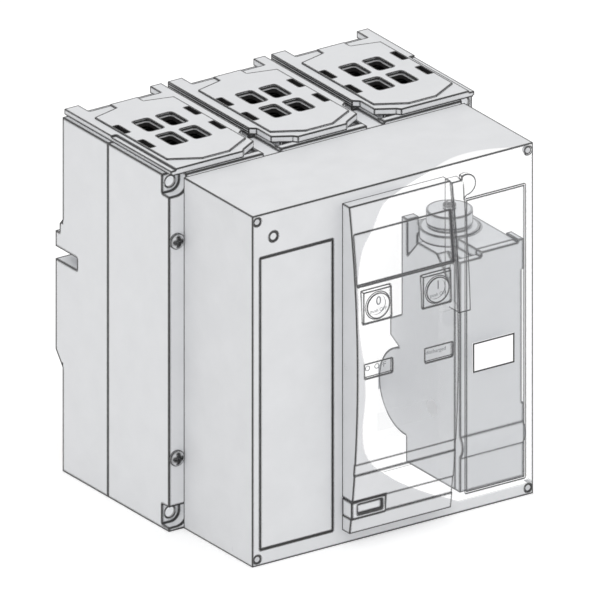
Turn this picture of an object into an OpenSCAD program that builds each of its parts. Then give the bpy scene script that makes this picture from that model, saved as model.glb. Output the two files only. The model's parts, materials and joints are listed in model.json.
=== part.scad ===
// Three-pole moulded-case switch disconnector with rear terminals and a geared charging motor.
// The origin is the centre of the rear mounting face: +X is right, +Y is back and +Z is up.
// A depth d is counted forwards from the mounting face, so it lies at y = -d.

/* [Poles] */
// Distance between the centre lines of neighbouring poles
pole_pitch = 70; // [68:0.5:76]
// Thickness of the wall between two pole chambers
partition = 12; // [11:0.5:13]
// Width of the slot that takes a phase barrier
barrier_slot_w = 4.5; // [4.3:0.1:5]
// Depth at which the barrier slot ends
barrier_slot_reach = 86; // [80:1:90]
// Height of the barrier slot
barrier_slot_h = 45; // [30:1:50]

/* [Case] */
// Height of the case below the centre line
base_h = 107; // [106:0.5:112]
// Height of the case above the centre line
top_h = 108.2; // [108:0.2:112]
// How far the mounting block stands out behind the case
block_stand = 7; // [5:0.5:9]
// Lower edge of the mounting block's flat face
block_low = 35; // [30:1:36]
// Upper edge of the mounting block's flat face
block_high = 37; // [30:1:38]
// Depth of the rear half of the case
rear_depth = 45.2; // [45:0.2:50]
// Depth of the front half of the case
middle_depth = 60.8; // [60:0.2:66]
// Wall thickness behind the terminals
rear_wall = 5; // [4:0.5:6]
// Thickness of the case floor
floor_t = 5; // [4:0.5:6]
// Thickness of the wall in front of the pole chambers
front_wall = 5; // [4:0.5:6]
// Thickness of the solid spine between the terminals
spine_t = 28; // [26:1:30]
// Radius of the corner fixing holes
corner_hole_r = 3.1; // [2.6:0.1:3.3]
// Distance of the corner fixing holes from the case side
corner_hole_in = 5.4; // [5:0.1:6]
// Distance of the upper fixing holes from the case top
corner_hole_down = 5.5; // [5:0.1:6]
// Distance of the lower fixing holes from the case bottom
corner_hole_up = 8.6; // [8:0.1:9]
// Depth of the recess round each fixing hole
pocket_t = 7; // [6:0.2:7.2]
// Radius of the rounded end of that recess
pocket_r = 6.2; // [5.5:0.1:6.8]
// Height of the side slots for mounting feet
foot_slot_h = 7.5; // [6:0.5:9]
// Length of the side slots for mounting feet
foot_slot_l = 21.3; // [18:0.1:22]
// How far the side slots reach into the case
foot_slot_in = 12; // [10:0.5:16]
// Height of the side slots above the centre line
foot_slot_z = 20; // [16:0.5:22]

/* [Arc chutes] */
// Thickness of the arc chute cap
cap_t = 4; // [3:0.2:5]
// Depth of the cap's rear edge between its ears
cap_back = 16.3; // [14:0.1:18]
// Depth of the cap's ears
ear_back = 5.5; // [5:0.1:8]
// Width of the left ear
ear_left_w = 9.5; // [7:0.5:11]
// Width of the right ear
ear_right_w = 7.5; // [6:0.5:10]
// Thickness of the exhaust plate on the cap
grid_t = 1; // [0.8:0.1:1.5]
// Half width of the exhaust plate
grid_half_w = 26.8; // [25:0.1:28]
// Width of an exhaust hole
vent_w = 11; // [9:0.5:12]
// Length of an exhaust hole
vent_l = 17; // [14:0.5:18]
// Half width of the chute under the cap
chute_half_w = 23.6; // [22:0.2:24]
// Height of the chute under the cap
chute_h = 40; // [36:1:41]
// Number of splitter plates in a chute
splitters = 8; // [6:1:9]
// Thickness of a splitter plate
splitter_t = 1.5; // [1:0.1:2]

/* [Contacts] */
// Half width of a terminal pad
pad_half_w = 23.6; // [21:0.2:23.8]
// Height of a terminal pad
pad_h = 35; // [32:0.5:36]
// Thickness of a terminal pad
pad_t = 15; // [12:0.5:16]
// Height of the lower pads' centres above the case bottom
pad_up = 29; // [28:0.5:31]
// Distance of the upper pads' centres from the case top
pad_down = 30.2; // [29:0.2:32]
// Distance between the two holes of a pad
pad_hole_pitch = 25; // [22:0.5:26]
// Radius of a pad hole
pad_hole_r = 4.25; // [3.5:0.05:4.5]
// Depth of the contact pivot
pivot_d = 44; // [43:0.5:45]
// Height of the contact pivot above the lower pads' centres
pivot_up = 26; // [25:0.5:28]
// How far the fingers reach past the lower edge of the upper pads
finger_reach = 4.5; // [3:0.5:6]
// Turn of the contacts from open to closed
contact_turn = 21.6; // [20:0.1:22]
// Radius of the contact pivot pin
pivot_r = 4; // [3:0.1:4.5]
// Radius of the pole shaft
shaft_r = 7; // [6:0.1:7.5]
// How far the pole shaft lies in front of the contact pivot
shaft_ahead = 44; // [43.5:0.5:44.5]
// Height of the pole shaft above the contact pivot
shaft_up = 34; // [33:0.5:35]
// Crank radius on the pole shaft
crank_r = 20; // [19:0.1:21]
// Radius of the crank pins
crank_pin_r = 3; // [2.5:0.1:3.2]

/* [Front cover] */
// Depth of the front cover
cover_depth = 68.5; // [67:0.5:74]
// Distance of the cover side from the case side
cover_in = 10; // [9.6:0.2:11]
// Distance of the cover top from the case top
cover_down = 1.8; // [1:0.1:3]
// Wall thickness of the cover
cover_wall = 2; // [1.6:0.1:2.2]
// Thickness of the cover's front
cover_front_t = 2.5; // [2.3:0.1:2.6]
// Thickness of the plates set in the cover
panel_t = 1.5; // [1.2:0.1:1.6]
// Gap round each plate
panel_gap = 0.4; // [0.3:0.05:0.6]
// Width of the ledge that a plate rests on
ledge_w = 2; // [1.5:0.1:2.5]
// Side of the square screw posts in the corners
post_w = 8; // [7:0.2:8.4]
// Radius of the cover screws
cover_screw_r = 2.3; // [1.8:0.1:2.4]
// Radius of the flange screw heads
flange_screw_r = 4.8; // [4:0.1:4.9]

/* [Fascia] */
// Half width of the fascia
fascia_half_w = 34.3; // [34:0.1:34.4]
// Distance of the fascia's top from the case top
fascia_down = 8; // [7:0.2:10]
// Height of the fascia's lower end above the case bottom
fascia_up = 8.5; // [7:0.5:10]
// How far the fascia's middle stands out of the cover
fascia_rise = 15.4; // [15:0.1:17]
// Radius of the fascia's curved front
fascia_r = 615; // [560:5:700]
// Wall thickness of the fascia
fascia_wall = 2.2; // [2:0.1:2.4]
// Side of the square button bezels
bezel_w = 19; // [18.4:0.1:20]
// Radius of the push buttons
button_r = 7.7; // [7:0.1:7.8]
// Travel of the push buttons
button_travel = 4; // [3:0.5:4.5]
// Radius of the indicator drums
drum_r = 8.6; // [8:0.1:8.8]
// Width of the indicator windows
window_w = 18.6; // [17:0.1:19]
// Height of the indicator windows
window_h = 8.4; // [7:0.1:9]
// Width of the padlock drawer
drawer_w = 23.2; // [21:0.1:24]
// Height of the padlock drawer
drawer_h = 10.5; // [9:0.1:11]

/* [Charging handle] */
// Width of the handle
handle_w = 7.7; // [7:0.1:7.9]
// How far the handle's top lies below the fascia's top
handle_short = 1.2; // [0.4:0.2:4]
// Height of the handle's top above its pivot
handle_l = 82; // [81:0.5:83]
// Depth of the handle's pivot behind the cover's front face
handle_pivot_in = 5.5; // [5.2:0.1:6]
// Radius of the handle's hub
handle_hub_r = 8; // [7.5:0.1:8.2]
// Height of the handle's underside above its pivot
handle_under = 5.2; // [5:0.1:6]
// Radius of the handle's pivot pin
handle_pin_r = 2; // [1.8:0.1:2.4]

/* [Gear motor] */
// Left face of the gear motor
motor_left = 49.5; // [49:0.5:50]
// Width of the gear case
motor_w = 40.5; // [40:0.5:41]
// Width of the gear motor's front plate
motor_plate_w = 43.1; // [42.4:0.1:43.2]
// Gap between the gear motor's front plate and the cover
motor_ahead = 3.5; // [3:0.1:4]
// Thickness of the gear motor's front plate
motor_plate_t = 5; // [4:0.5:6]
// Height of the gear motor's deck
motor_top = 45; // [44:0.5:46]
// Height of the gear motor's lower end above the case bottom
motor_up = 9; // [8.6:0.1:10]
// Radius of the round gear housing
gear_r = 26; // [25:0.5:26.5]
// How far the round gear housing's centre lies in front of the steel plate
gear_ahead = 4; // [3.5:0.5:5]
// Height of the gear housing's centre below the centre line
gear_low = 56; // [55:0.5:57]
// Radius of the electric motor
can_r = 12.5; // [11.5:0.1:12.6]
// Radius of the motor's flange on the deck
can_flange_r = 17; // [16:0.5:17.2]
// Radius of the motor's top cap
can_cap_r = 13.2; // [12:0.2:14]
// Radius of the motor shaft
rotor_r = 2; // [1.8:0.1:2.2]

/* [Mechanism] */
// Thickness of the steel plate between case and mechanism
plate_t = 4; // [3.5:0.1:4.2]
// Thickness of the mechanism's side plates
side_t = 3; // [2:0.5:3.5]
// Radius of the worm wheel
wheel_r = 8.1; // [7.5:0.1:8.6]
// Radius of the charging shaft
cam_shaft_r = 5; // [4:0.1:5.5]
// Smallest radius of the charging cam
cam_low = 8; // [7.5:0.1:9]
// Rise of the charging cam over half a turn
cam_rise = 12; // [10:0.5:13]
// Mean radius of the closing spring
spring_r = 9; // [8:0.5:10]
// Radius of the spring wire
spring_wire = 1.5; // [1:0.1:1.6]

/* [Hidden] */
$fn = 96;

// Clearances
fit = 0.05;
gap = 0.3;
over = 1;

// Colours
case_grey = "#dcdddf";
cap_grey = "#e2e3e4";
motor_grey = "#c4c6c9";
clear_white = "#f4f5f7";
copper = "#b87342";
steel = "#9a9ea3";
dark_steel = "#55585c";
button_grey = "#e8e9ea";
brass = "#b9a15a";

// Depth planes and case outline
case_x = 1.5 * pole_pitch;
chamber_half = (pole_pitch - partition) / 2;
d_rear = block_stand;
d_joint = d_rear + rear_depth;
d_flange = d_joint + middle_depth;
d_cover = d_flange + cover_depth;
d_inside = d_cover - cover_front_t;
cover_x = case_x - cover_in;
cover_top = top_h - cover_down;
plate_front = d_flange + plate_t;
window_clear = 0.4;
beam_t = 13;
block_slope = 9;
block_ledge_d = 4;
block_ledge_h = 5.6;
pad_z = [-base_h + pad_up, top_h - pad_down];
zone_z = block_high + block_slope;

// Screws and holes
case_screw_r = 2.4;
case_screw_head_r = 4.4;
case_screw_head_t = 4;
case_screw_up = 17;
case_screw_over = 6.5;
case_screw_z = [-base_h + case_screw_up, zone_z + case_screw_over];
case_screw_tip = 2;
corner_boss = 10.5;
corner_pad_w = 13.2;
corner_pad_h = 15;
corner_pad_floor = 1.5;
corner_z = [-base_h + corner_hole_up, top_h - corner_hole_down];
flange_screw_x = case_x - 5;
flange_screw_up = 44;
flange_screw_down = 39.2;
flange_screw_z = [-base_h + flange_screw_up, top_h - flange_screw_down];
flange_boss_w = 9.6;
flange_boss_h = 12;
flange_boss_t = 20;
head_t = 3;
head_dome = 7.5;
cross_l = 6;
cross_w = 1.2;

// Arc chutes
cap_half = (pole_pitch - barrier_slot_w) / 2;
cap_front = d_flange - 1.4;
cap_rim_w = 3.4;
cap_rim_t = 1;
cap_groove = 0.8;
valley_half = 5.8;
valley_t = 2.2;
valley_step = 3;
lip_half = 16.5;
nose_half = 18.5;
nose_d = cap_front - 2.4;
shoulder_d = cap_front - 8.6;
grid_in = 17.3;
grid_nose = 9.2;
grid_rear = 22.5;
grid_corner = 4.5;
grid_front_in = 3;
vent_x = 8;
vent_d = [52.5, 76];
vent_round = 2;
slit_x = 24;
slit_w = 3.5;
slit_l = 12;
slit_t = 2;
slit_d = [49.5, 74.5];
chute_back = 26;
chute_wall = 2;
chute_front_gap = 4;
chute_front = d_flange - front_wall - chute_front_gap;
splitter_short = 4;
splitter_h = chute_h - splitter_short;
splitter_ends = 7;
splitter_pitch = (chute_front - chute_back - 2 * splitter_ends) / splitters;
notch_w = 12;
notch_h = 16;

// Contacts
pad_in = 2;
pad_face = d_rear + pad_in;
pad_end = pad_face + pad_t;
foot_half_w = 20;
foot_h = 16;
foot_in = 4;
finger_t = 8;
finger_w = 8;
finger_pitch = 11;
fingers = 4;
finger_base = 14;
tip_t = 2;
tip_h = 12;
tip_down = 2;
foot_d = pivot_d - finger_t / 2 - 2 * tip_t - gap;
pivot_z = pad_z[0] + pivot_up;
finger_l = pad_z[1] - pad_h / 2 + finger_reach - pivot_z;
tip_z = pivot_z + finger_l - tip_h / 2 - tip_down;
upper_chamber_z = min(zone_z, tip_z - foot_h / 2 - window_clear);
shaft_d = pivot_d + shaft_ahead;
shaft_z = pivot_z + shaft_up;
lever_l = sqrt(shaft_ahead * shaft_ahead + shaft_up * shaft_up);
lever_a = atan2(shaft_up, shaft_ahead);
slot_at = lever_l - crank_r;
shaft_turn = 40;
slot_clear = 0.45;
slot_run = 4.5;
tail_half_w = 7;
hub_half_w = 5;
contact_hub_r = 9;
yoke_h = 12;
cheek_in = hub_half_w + gap;
cheek_out = 11;
cheek_r = 10;
cheek_root = 6;
cheek_slope = 4;
crank_cheek = [7, 11];
crank_hub_r = 10;
crank_end_r = 6;
bush_r = 10;
bush_end = 4;
shaft_end_gap = 2;

// Panels and cover
fascia_low = base_h - fascia_up;
fascia_top = top_h - fascia_down;
left_panel_in = 5;
left_panel_gap = 6.2;
left_panel = [-cover_x + left_panel_in, -fascia_half_w - left_panel_gap];
left_panel_up = 9.3;
left_panel_down = 26.4;
left_panel_z = [-base_h + left_panel_up, cover_top - left_panel_down];
right_panel_gap = 15;
right_panel_in = 5.5;
right_panel = [fascia_half_w + right_panel_gap, cover_x - right_panel_in];
right_panel_up = 10.9;
right_panel_down = 23.9;
right_panel_z = [-base_h + right_panel_up, cover_top - right_panel_down];
label_in = 4.6;
label_w = 28.1;
label_x = span(right_panel[0] + label_in, label_w);
label_z = [-24, -6];
label_t = 0.6;
plug_in = 14.3;
plug_down = 15.3;
plug_r = 3;
plug_gap = 0.1;
cover_screw_in = 3.3;
cover_screw_up = 4;
cover_screw_down = 4.1;
cover_screw_l = 20;
fascia_opening = 31;
fascia_opening_in = 3.5;

// Fascia
fascia_front = d_cover + fascia_rise;
fascia_axis = fascia_front - fascia_r;
fascia_back = 20;
panel_top_in = 16.6;
panel_h = 30.4;
panel_high = fascia_top - panel_top_in;
panel_low = panel_high - panel_h;
panel_sink = 1.4;
panel_side = 1.5;
bezel_x = [-20.5, 19.8];
bezel_down = 12.9;
bezel_z = panel_low - bezel_down;
bezel_front = fascia_front - 0.1;
bezel_t = 3.5;
bezel_tube_wall = 1.2;
bezel_gap = 0.2;
button_gap = 0.3;
button_proud = 0.8;
button_l = 9;
button_top_t = 2;
button_wall = 1.5;
bezel_depth = button_l + button_travel;
window_down = 38.7;
window_z = bezel_z - window_down;
window_x = [-19.9, 21];
lens_t = 1;
lens_gap = 0.1;
drum_gap = 1.2;
drum_end_gap = 0.5;
drum_axis_d = fascia_front - fascia_wall - drum_r - drum_gap;
axle_r = 1.5;
crease_up = 36.6;
crease_h = 6.7;
crease_z = span(-fascia_low + crease_up, crease_h);
band_up = 9.5;
band_z = span(-fascia_low + band_up, drawer_h);
band_sink = 0.5;
drawer_left = -fascia_half_w - 0.5;
drawer_proud = 0.8;
drawer_front = curve_d(band_z[0] + drawer_h / 2) + drawer_proud;
drawer_back = d_cover + 1;
drawer_frame = [4, 2.5, 2.5, 2];
drawer_sink = 1.2;
tongue_half = 6;
tongue_t = 6;
tongue_shift = 2;
tongue_hole_r = 3;

// Handle
handle_x = fascia_half_w + 0.4;
handle_top = fascia_top - handle_short;
handle_pivot_z = handle_top - handle_l;
handle_pivot_d = d_cover - handle_pivot_in;
handle_back = d_cover + 0.8;
handle_slot_gap = 0.6;
handle_slot_z = [-handle_hub_r - 1, handle_hub_r + 3];
handle_proud = 0.4;
tab_w = 8.6;
tab_r = 6.5;
tab_up = 3;
tab_tail = 12.5;
tab_t = 3;
tab_d = d_cover + 5;
ear_t = 4;
ear_h = 12;

// Gear motor
motor_right = motor_left + motor_w;
motor_low = base_h - motor_up;
motor_back_gap = 0.5;
motor_back = plate_front + motor_back_gap;
motor_front = d_inside - motor_ahead;
case_front = motor_front - motor_plate_t;
gear_z = -gear_low;
gear_d = plate_front + gear_ahead;
motor_foot_d = motor_back + 4.5;
back_tab_d = d_flange - 6.8;
back_tab_z = [-26, -15.5];
back_tab_slope = 6;
bulge_clear = 1.5;
recess_wall = 3;
recess_x = [34, motor_right + bulge_clear];
ear_d = 5.3;
rear_ear_h = 4.8;
rear_ear_w = 8;
deck_drop = 5.6;
deck_low = motor_top - deck_drop;
deck_x = motor_left + 14.5;
notch_x = motor_left + 7.3;
notch_drop = 11.6;
notch_low = deck_low - notch_drop;
notch_slope = 10.6;
notch_front_in = 7.1;
notch_floor_l = 2;
can_x = 69.7;
can_d = motor_back + can_flange_r + 1;
can_low = -14;
can_flange_up = 1;
can_neck_h = 2.2;
can_neck_in = 1.6;
can_cap_h = 7.8;
can_cap_low = motor_top + can_flange_up + can_neck_h;
can_cap_high = can_cap_low + can_cap_h;
rib_r = 9;
rib_z = -71;
rib_rise = 2.6;
plate_step = 3;
edge_notch = 1.2;
edge_notch_z = [-53, 28];
corner_tab = [3.6, 12, 1.6];
worm_r = 4;
mesh_gap = 0.4;
worm_l = 20;
wheel_w = 8;
wheel_side = 0.5;
wheel_teeth = 24;
tooth_cut = 0.8;
rotor_hub_r = 3.8;
rotor_hub_h = 2.7;
rotor_top = can_cap_high + gap + rotor_hub_h + 1.5;
shaft_past = 8;

// Mechanism
plate_side_gap = 1;
plate_x = cover_x - cover_wall - plate_side_gap;
plate_up = 9;
plate_down = 9.5;
plate_z = [-base_h + plate_up, cover_top - plate_down];
shroud_x = [-38, 0];
shroud_up = 13;
shroud_down = 10.4;
shroud_z = [-base_h + shroud_up, cover_top - shroud_down];
shroud_ahead = 8;
shroud_front = d_inside - shroud_ahead;
shroud_wall = 2;
tongue_gap = 0.8;
tongue_l = drawer_back - shroud_front - tongue_gap;
frame_x = [-34, -7];
frame_z = [-82, 50];
frame_in = 5;
frame_front = shroud_front - frame_in;
cam_x = -19;
cam_w = 8;
cam_d = can_d + worm_r + mesh_gap + wheel_r;
cam_z = gear_z;
follower_r = 3;
follower_gap = 0.8;
follower_z = cam_z + cam_low + follower_gap + follower_r;
collar_t = 3;
collar_up = 14;
collar_z = follower_z + collar_up;
collar_rim = 1;
rod_r = 4;
bridge_t = 4;
bridge_down = 6;
bridge_half = 12;
bridge_z = frame_z[1] - bridge_down;
spring_turns = 7;
spring_slices = 14;

// Places a box by its x range, its depth range and its z range
module block(x, d, z) {
    translate([x[0], -d[1], z[0]]) cube([x[1] - x[0], d[1] - d[0], z[1] - z[0]]);
}

// Extrudes a (y, z) outline along x
module along_x(x) {
    translate([x[0], 0, 0]) rotate([90, 0, 90]) linear_extrude(x[1] - x[0]) children();
}

// Extrudes an (x, z) outline forwards over a depth range
module forwards(d) {
    translate([0, -d[0], 0]) rotate([90, 0, 0]) linear_extrude(d[1] - d[0]) children();
}

// Round bar along x at a depth and height
module bar_x(x, d, z, r) {
    translate([x[0], -d, z]) rotate([0, 90, 0]) cylinder(h = x[1] - x[0], r = r);
}

// Round bar along y at a place on the front
module bar_y(x, d, z, r) {
    translate([x, -d[0], z]) rotate([90, 0, 0]) cylinder(h = d[1] - d[0], r = r);
}

// Turns children about an x axis at a depth and height
module turn_x(angle, d, z) {
    translate([0, -d, z]) rotate([angle, 0, 0]) translate([0, d, -z]) children();
}

function pole_x(i) = (i - 2) * pole_pitch;

// Range of width w centred on c
function mid(c, w) = [c - w / 2, c + w / 2];

// Range of length l that starts at c
function span(c, l) = [c, c + l];

// Range r moved by c
function shift(c, r) = [c + r[0], c + r[1]];

// Range r from c on the side s, which is 1 or -1
function beside(c, s, r) = s > 0 ? shift(c, r) : [c - r[1], c - r[0]];

// Depth of the fascia's curved front at a height
function curve_d(z) = fascia_axis + sqrt(fascia_r * fascia_r - z * z);

// Rectangle with rounded corners, from its ranges
module soft_rect(x, z, r) {
    translate([x[0] + r, z[0]]) square([x[1] - x[0] - 2 * r, z[1] - z[0]]);
    translate([x[0], z[0] + r]) square([x[1] - x[0], z[1] - z[0] - 2 * r]);
    for (cx = [x[0] + r, x[1] - r], cz = [z[0] + r, z[1] - r])
        translate([cx, cz]) circle(r, $fn = 32);
}

// Solid corners that carry the long fixing screws through the case
module corner_posts(d) {
    for (s = [-1, 1], z = corner_z)
        block(mid(s * (case_x - corner_boss / 2), corner_boss), d,
            mid(z, corner_boss));
}

// Floors of the recesses round the fixing holes
module corner_pads() {
    for (s = [-1, 1], z = corner_z)
        block(mid(s * (case_x - corner_pad_w / 2), corner_pad_w),
            [d_flange - pocket_t - corner_pad_floor, d_flange], mid(z, corner_pad_h));
}

module corner_bores(d) {
    for (s = [-1, 1], z = corner_z)
        bar_y(s * (case_x - corner_hole_in), d, z, corner_hole_r);
}

// Slots between the poles, open to the top and the back, for phase barriers
module barrier_slots() {
    for (s = [-1, 1])
        block(mid(s * pole_pitch / 2, barrier_slot_w),
            [-over, barrier_slot_reach], [top_h - barrier_slot_h, top_h + over]);
}

module rear_chamber(x) {
    block(x, [d_rear + rear_wall, d_joint + over], [-base_h + floor_t, -zone_z]);
    block(x, [spine_t, d_joint + over], [-zone_z - over, zone_z + over]);
    block(x, [d_rear + rear_wall, d_joint + over],
        [upper_chamber_z, pad_z[1] + pad_h / 2 + over]);
    block(x, [d_rear + beam_t, d_joint + over], [pad_z[1] + pad_h / 2, top_h + over]);
}

// Rear half of the moulded case with the mounting block and the terminal openings
module rear_case() {
    color(case_grey) difference() {
        union() {
            block([-case_x, case_x], [d_rear, d_joint], [-base_h, top_h]);
            along_x([-case_x, case_x])
                polygon([[-d_rear - over, -block_low - block_slope], [-d_rear, -block_low - block_slope],
                    [0, -block_low], [0, block_high], [-block_ledge_d, block_high],
                    [-block_ledge_d, block_high + block_ledge_h], [-d_rear, zone_z],
                    [-d_rear - over, zone_z]]);
        }
        difference() {
            for (i = [1:3]) rear_chamber(mid(pole_x(i), 2 * chamber_half));
            corner_posts([0, d_joint + over]);
        }
        for (i = [1:3], z = pad_z)
            block(mid(pole_x(i), 2 * (pad_half_w + window_clear)), [-over, d_rear + rear_wall + over],
                mid(z, pad_h + 2 * window_clear));
        corner_bores([-over, d_joint + over]);
        barrier_slots();
        for (s = [-1, 1]) {
            block(mid(s * case_x, 2 * foot_slot_in), [-over, foot_slot_l],
                span(foot_slot_z, foot_slot_h));
            for (z = case_screw_z) {
                bar_y(s * pole_pitch / 2, [-over, d_joint + over], z, case_screw_r + fit);
                bar_y(s * pole_pitch / 2, [-over, d_rear + case_screw_head_t + over], z,
                    case_screw_head_r + gap);
            }
        }
    }
}

// Rounded recesses round the fixing holes in the front flange
module flange_pockets() {
    for (s = [-1, 1]) {
        x_hole = s * (case_x - corner_hole_in);
        for (k = [0, 1]) {
            z_hole = corner_z[k];
            z_open = k == 1 ? [z_hole, top_h + over] : [z_hole, z_hole + pocket_r];
            bar_y(x_hole, [d_flange - pocket_t, d_flange + over], z_hole, pocket_r);
            block(mid(x_hole, 2 * pocket_r), [d_flange - pocket_t, d_flange + over], z_open);
            block(s > 0 ? [x_hole, case_x + over] : [-case_x - over, x_hole],
                [d_flange - pocket_t, d_flange + over], [z_hole - pocket_r, z_open[1]]);
        }
    }
}

module flange_bosses() {
    for (s = [-1, 1], z = flange_screw_z)
        block(mid(s * (case_x - flange_boss_w / 2), flange_boss_w),
            [d_flange - flange_boss_t, d_flange], mid(z, flange_boss_h));
}

// Outline of the space that the gear housing and its tab take in the front wall
module gear_outline(grow) {
    translate([-gear_d, gear_z]) circle(gear_r + grow);
    polygon([[-motor_back, back_tab_z[1] + back_tab_slope + grow], [-back_tab_d + grow, back_tab_z[1] + grow],
        [-back_tab_d + grow, back_tab_z[0] - grow], [-motor_back, back_tab_z[0] - back_tab_slope - grow]]);
}

// Front half of the moulded case with the flange and the recess for the gear housing
module middle_case() {
    color(case_grey) difference() {
        block([-case_x, case_x], [d_joint, d_flange], [-base_h, top_h]);
        difference() {
            for (i = [1:3])
                block(mid(pole_x(i), 2 * chamber_half), [d_joint - over, d_flange - front_wall],
                    [-base_h + floor_t, top_h + over]);
            corner_posts([d_joint - over, d_flange]);
            corner_pads();
            flange_bosses();
            along_x(recess_x + [-recess_wall, recess_wall]) gear_outline(bulge_clear + recess_wall);
        }
        intersection() {
            along_x(recess_x) gear_outline(bulge_clear);
            block(recess_x, [d_joint, d_flange + over], [-base_h, top_h]);
        }
        corner_bores([d_joint - over, d_flange + over]);
        flange_pockets();
        barrier_slots();
        for (s = [-1, 1]) {
            block(mid(s * pole_pitch / 2, 2 * valley_half), [barrier_slot_reach, d_flange + over],
                [top_h - valley_t, top_h + over]);
            for (z = flange_screw_z)
                bar_y(s * flange_screw_x, [d_flange - flange_boss_t + head_t, d_flange + over], z,
                    case_screw_r + fit);
            for (z = case_screw_z)
                bar_y(s * pole_pitch / 2, [d_joint - over, shaft_d - bush_r - case_screw_tip], z,
                    case_screw_r + fit);
        }
        bar_x([-case_x + shaft_end_gap, case_x - shaft_end_gap], shaft_d, shaft_z, bush_r);
    }
}

// Long screws that hold the two halves of the case together
module case_screws() {
    color(dark_steel) for (s = [-1, 1], z = case_screw_z) difference() {
        union() {
            bar_y(s * pole_pitch / 2, [d_rear + over, shaft_d - bush_r - case_screw_tip - over], z,
                case_screw_r);
            bar_y(s * pole_pitch / 2, [d_rear + over, d_rear + over + case_screw_head_t], z,
                case_screw_head_r);
        }
        bar_y(s * pole_pitch / 2, [d_rear, d_rear + over + case_screw_head_t / 2], z, case_screw_r, $fn = 6);
    }
}

// Outline of an arc chute cap seen from above, in x and depth
module cap_outline(square_left, square_right) {
    polygon([
        [-cap_half, ear_back], [-cap_half + ear_left_w, ear_back], [-cap_half + ear_left_w, cap_back],
        [cap_half - ear_right_w, cap_back], [cap_half - ear_right_w, ear_back], [cap_half, ear_back],
        each square_right ? [[cap_half, cap_front]] : cap_nose(1),
        each square_left ? [[-cap_half, cap_front]] : [for (k = [4:-1:0]) cap_nose(-1)[k]]]);
}

// Stepped inner front corner of a cap
function cap_nose(s) = [
    [s * cap_half, barrier_slot_reach],
    [s * (pole_pitch / 2 - valley_half), barrier_slot_reach + valley_step],
    [s * (pole_pitch / 2 - valley_half), shoulder_d],
    [s * nose_half, nose_d],
    [s * lip_half, cap_front]];

// Outline of the raised exhaust plate on a cap
module grid_outline() {
    grid_front = cap_front - grid_front_in;
    polygon([[-grid_nose, cap_back], [-grid_nose, grid_rear], [-grid_half_w, grid_rear + grid_corner],
        [-grid_half_w, cap_front - grid_in + grid_corner], [-grid_nose, grid_front], [grid_nose, grid_front],
        [grid_half_w, cap_front - grid_in + grid_corner], [grid_half_w, grid_rear + grid_corner],
        [grid_nose, grid_rear], [grid_nose, cap_back]]);
}

module vent_outlines() {
    for (s = [-1, 1], d = vent_d)
        soft_rect(mid(s * vent_x, vent_w), mid(d, vent_l), vent_round);
}

module slit_outlines() {
    for (s = [-1, 1], d = slit_d)
        translate([s * slit_x - slit_w / 2, d - slit_l / 2]) square([slit_w, slit_l]);
}

// Extrudes an outline given in x and depth upwards from z
module upwards(x, z, h) {
    translate([x, 0, z]) mirror([0, 1, 0]) linear_extrude(h) children();
}

// Arc chute of one pole: the cap on the case top and the box that holds the splitter plates
module arc_chute(i) {
    color(cap_grey) difference() {
        union() {
            upwards(pole_x(i), top_h, cap_t) cap_outline(i == 1, i == 3);
            block(mid(pole_x(i), 2 * chute_half_w), [chute_back, chute_front],
                [top_h - chute_h, top_h]);
        }
        block(shift(pole_x(i), [-chute_half_w + chute_wall, chute_half_w - chute_wall]),
            [chute_back + chute_wall, chute_front - chute_wall], [top_h - chute_h - over, top_h]);
        upwards(pole_x(i), top_h - over, cap_t + 2 * over) vent_outlines();
        upwards(pole_x(i), top_h + cap_t - slit_t, slit_t + over) slit_outlines();
        if (i != 2) cap_side_cuts(i - 2);
    }
}

// Rim step and shadow groove along the outer side of an end cap
module cap_side_cuts(s) {
    block(beside(0, s, [case_x - barrier_slot_w / 2 - cap_rim_w, case_x + over]), [d_joint, cap_front + over],
        [top_h + cap_t - cap_rim_t, top_h + cap_t + over]);
    block(beside(0, s, [case_x - barrier_slot_w / 2 - cap_groove, case_x + over]), [0, cap_front + over],
        [top_h - over, top_h + cap_groove]);
}

// Raised plates with the exhaust holes
module exhaust_plates() {
    color(cap_grey) for (i = [1:3])
        upwards(pole_x(i), top_h + cap_t, grid_t) difference() {
            grid_outline();
            vent_outlines();
            slit_outlines();
        }
}

// Notched steel plates that split the arc
module splitter_plates(i) {
    half = chute_half_w - chute_wall - gap;
    low = top_h - splitter_h;
    high = top_h - gap;
    color(steel) for (k = [0:splitters - 1]) {
        d = chute_back + splitter_ends + (k + 0.5) * splitter_pitch;
        translate([pole_x(i), 0, 0]) forwards([d, d + splitter_t])
            polygon([[-half, low], [-notch_w / 2, low], [0, low + notch_h], [notch_w / 2, low],
                [half, low], [half, high], [-half, high]]);
    }
}

module pad_holes(i, z) {
    for (s = [-1, 1])
        bar_y(pole_x(i) + s * pad_hole_pitch / 2, [pad_face - over, pad_end + over], z, pad_hole_r);
}

// Copper terminal with the fixed contact
module upper_terminal(i) {
    color(copper) difference() {
        union() {
            block(mid(pole_x(i), 2 * pad_half_w), [pad_face, pad_end],
                mid(pad_z[1], pad_h));
            block(mid(pole_x(i), 2 * foot_half_w), [pad_face + foot_in, foot_d],
                [tip_z - foot_h / 2, pad_z[1] - pad_h / 2 + over]);
            block(mid(pole_x(i), 2 * foot_half_w), [foot_d, foot_d + tip_t],
                mid(tip_z, tip_h));
        }
        pad_holes(i, pad_z[1]);
    }
}

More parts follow.
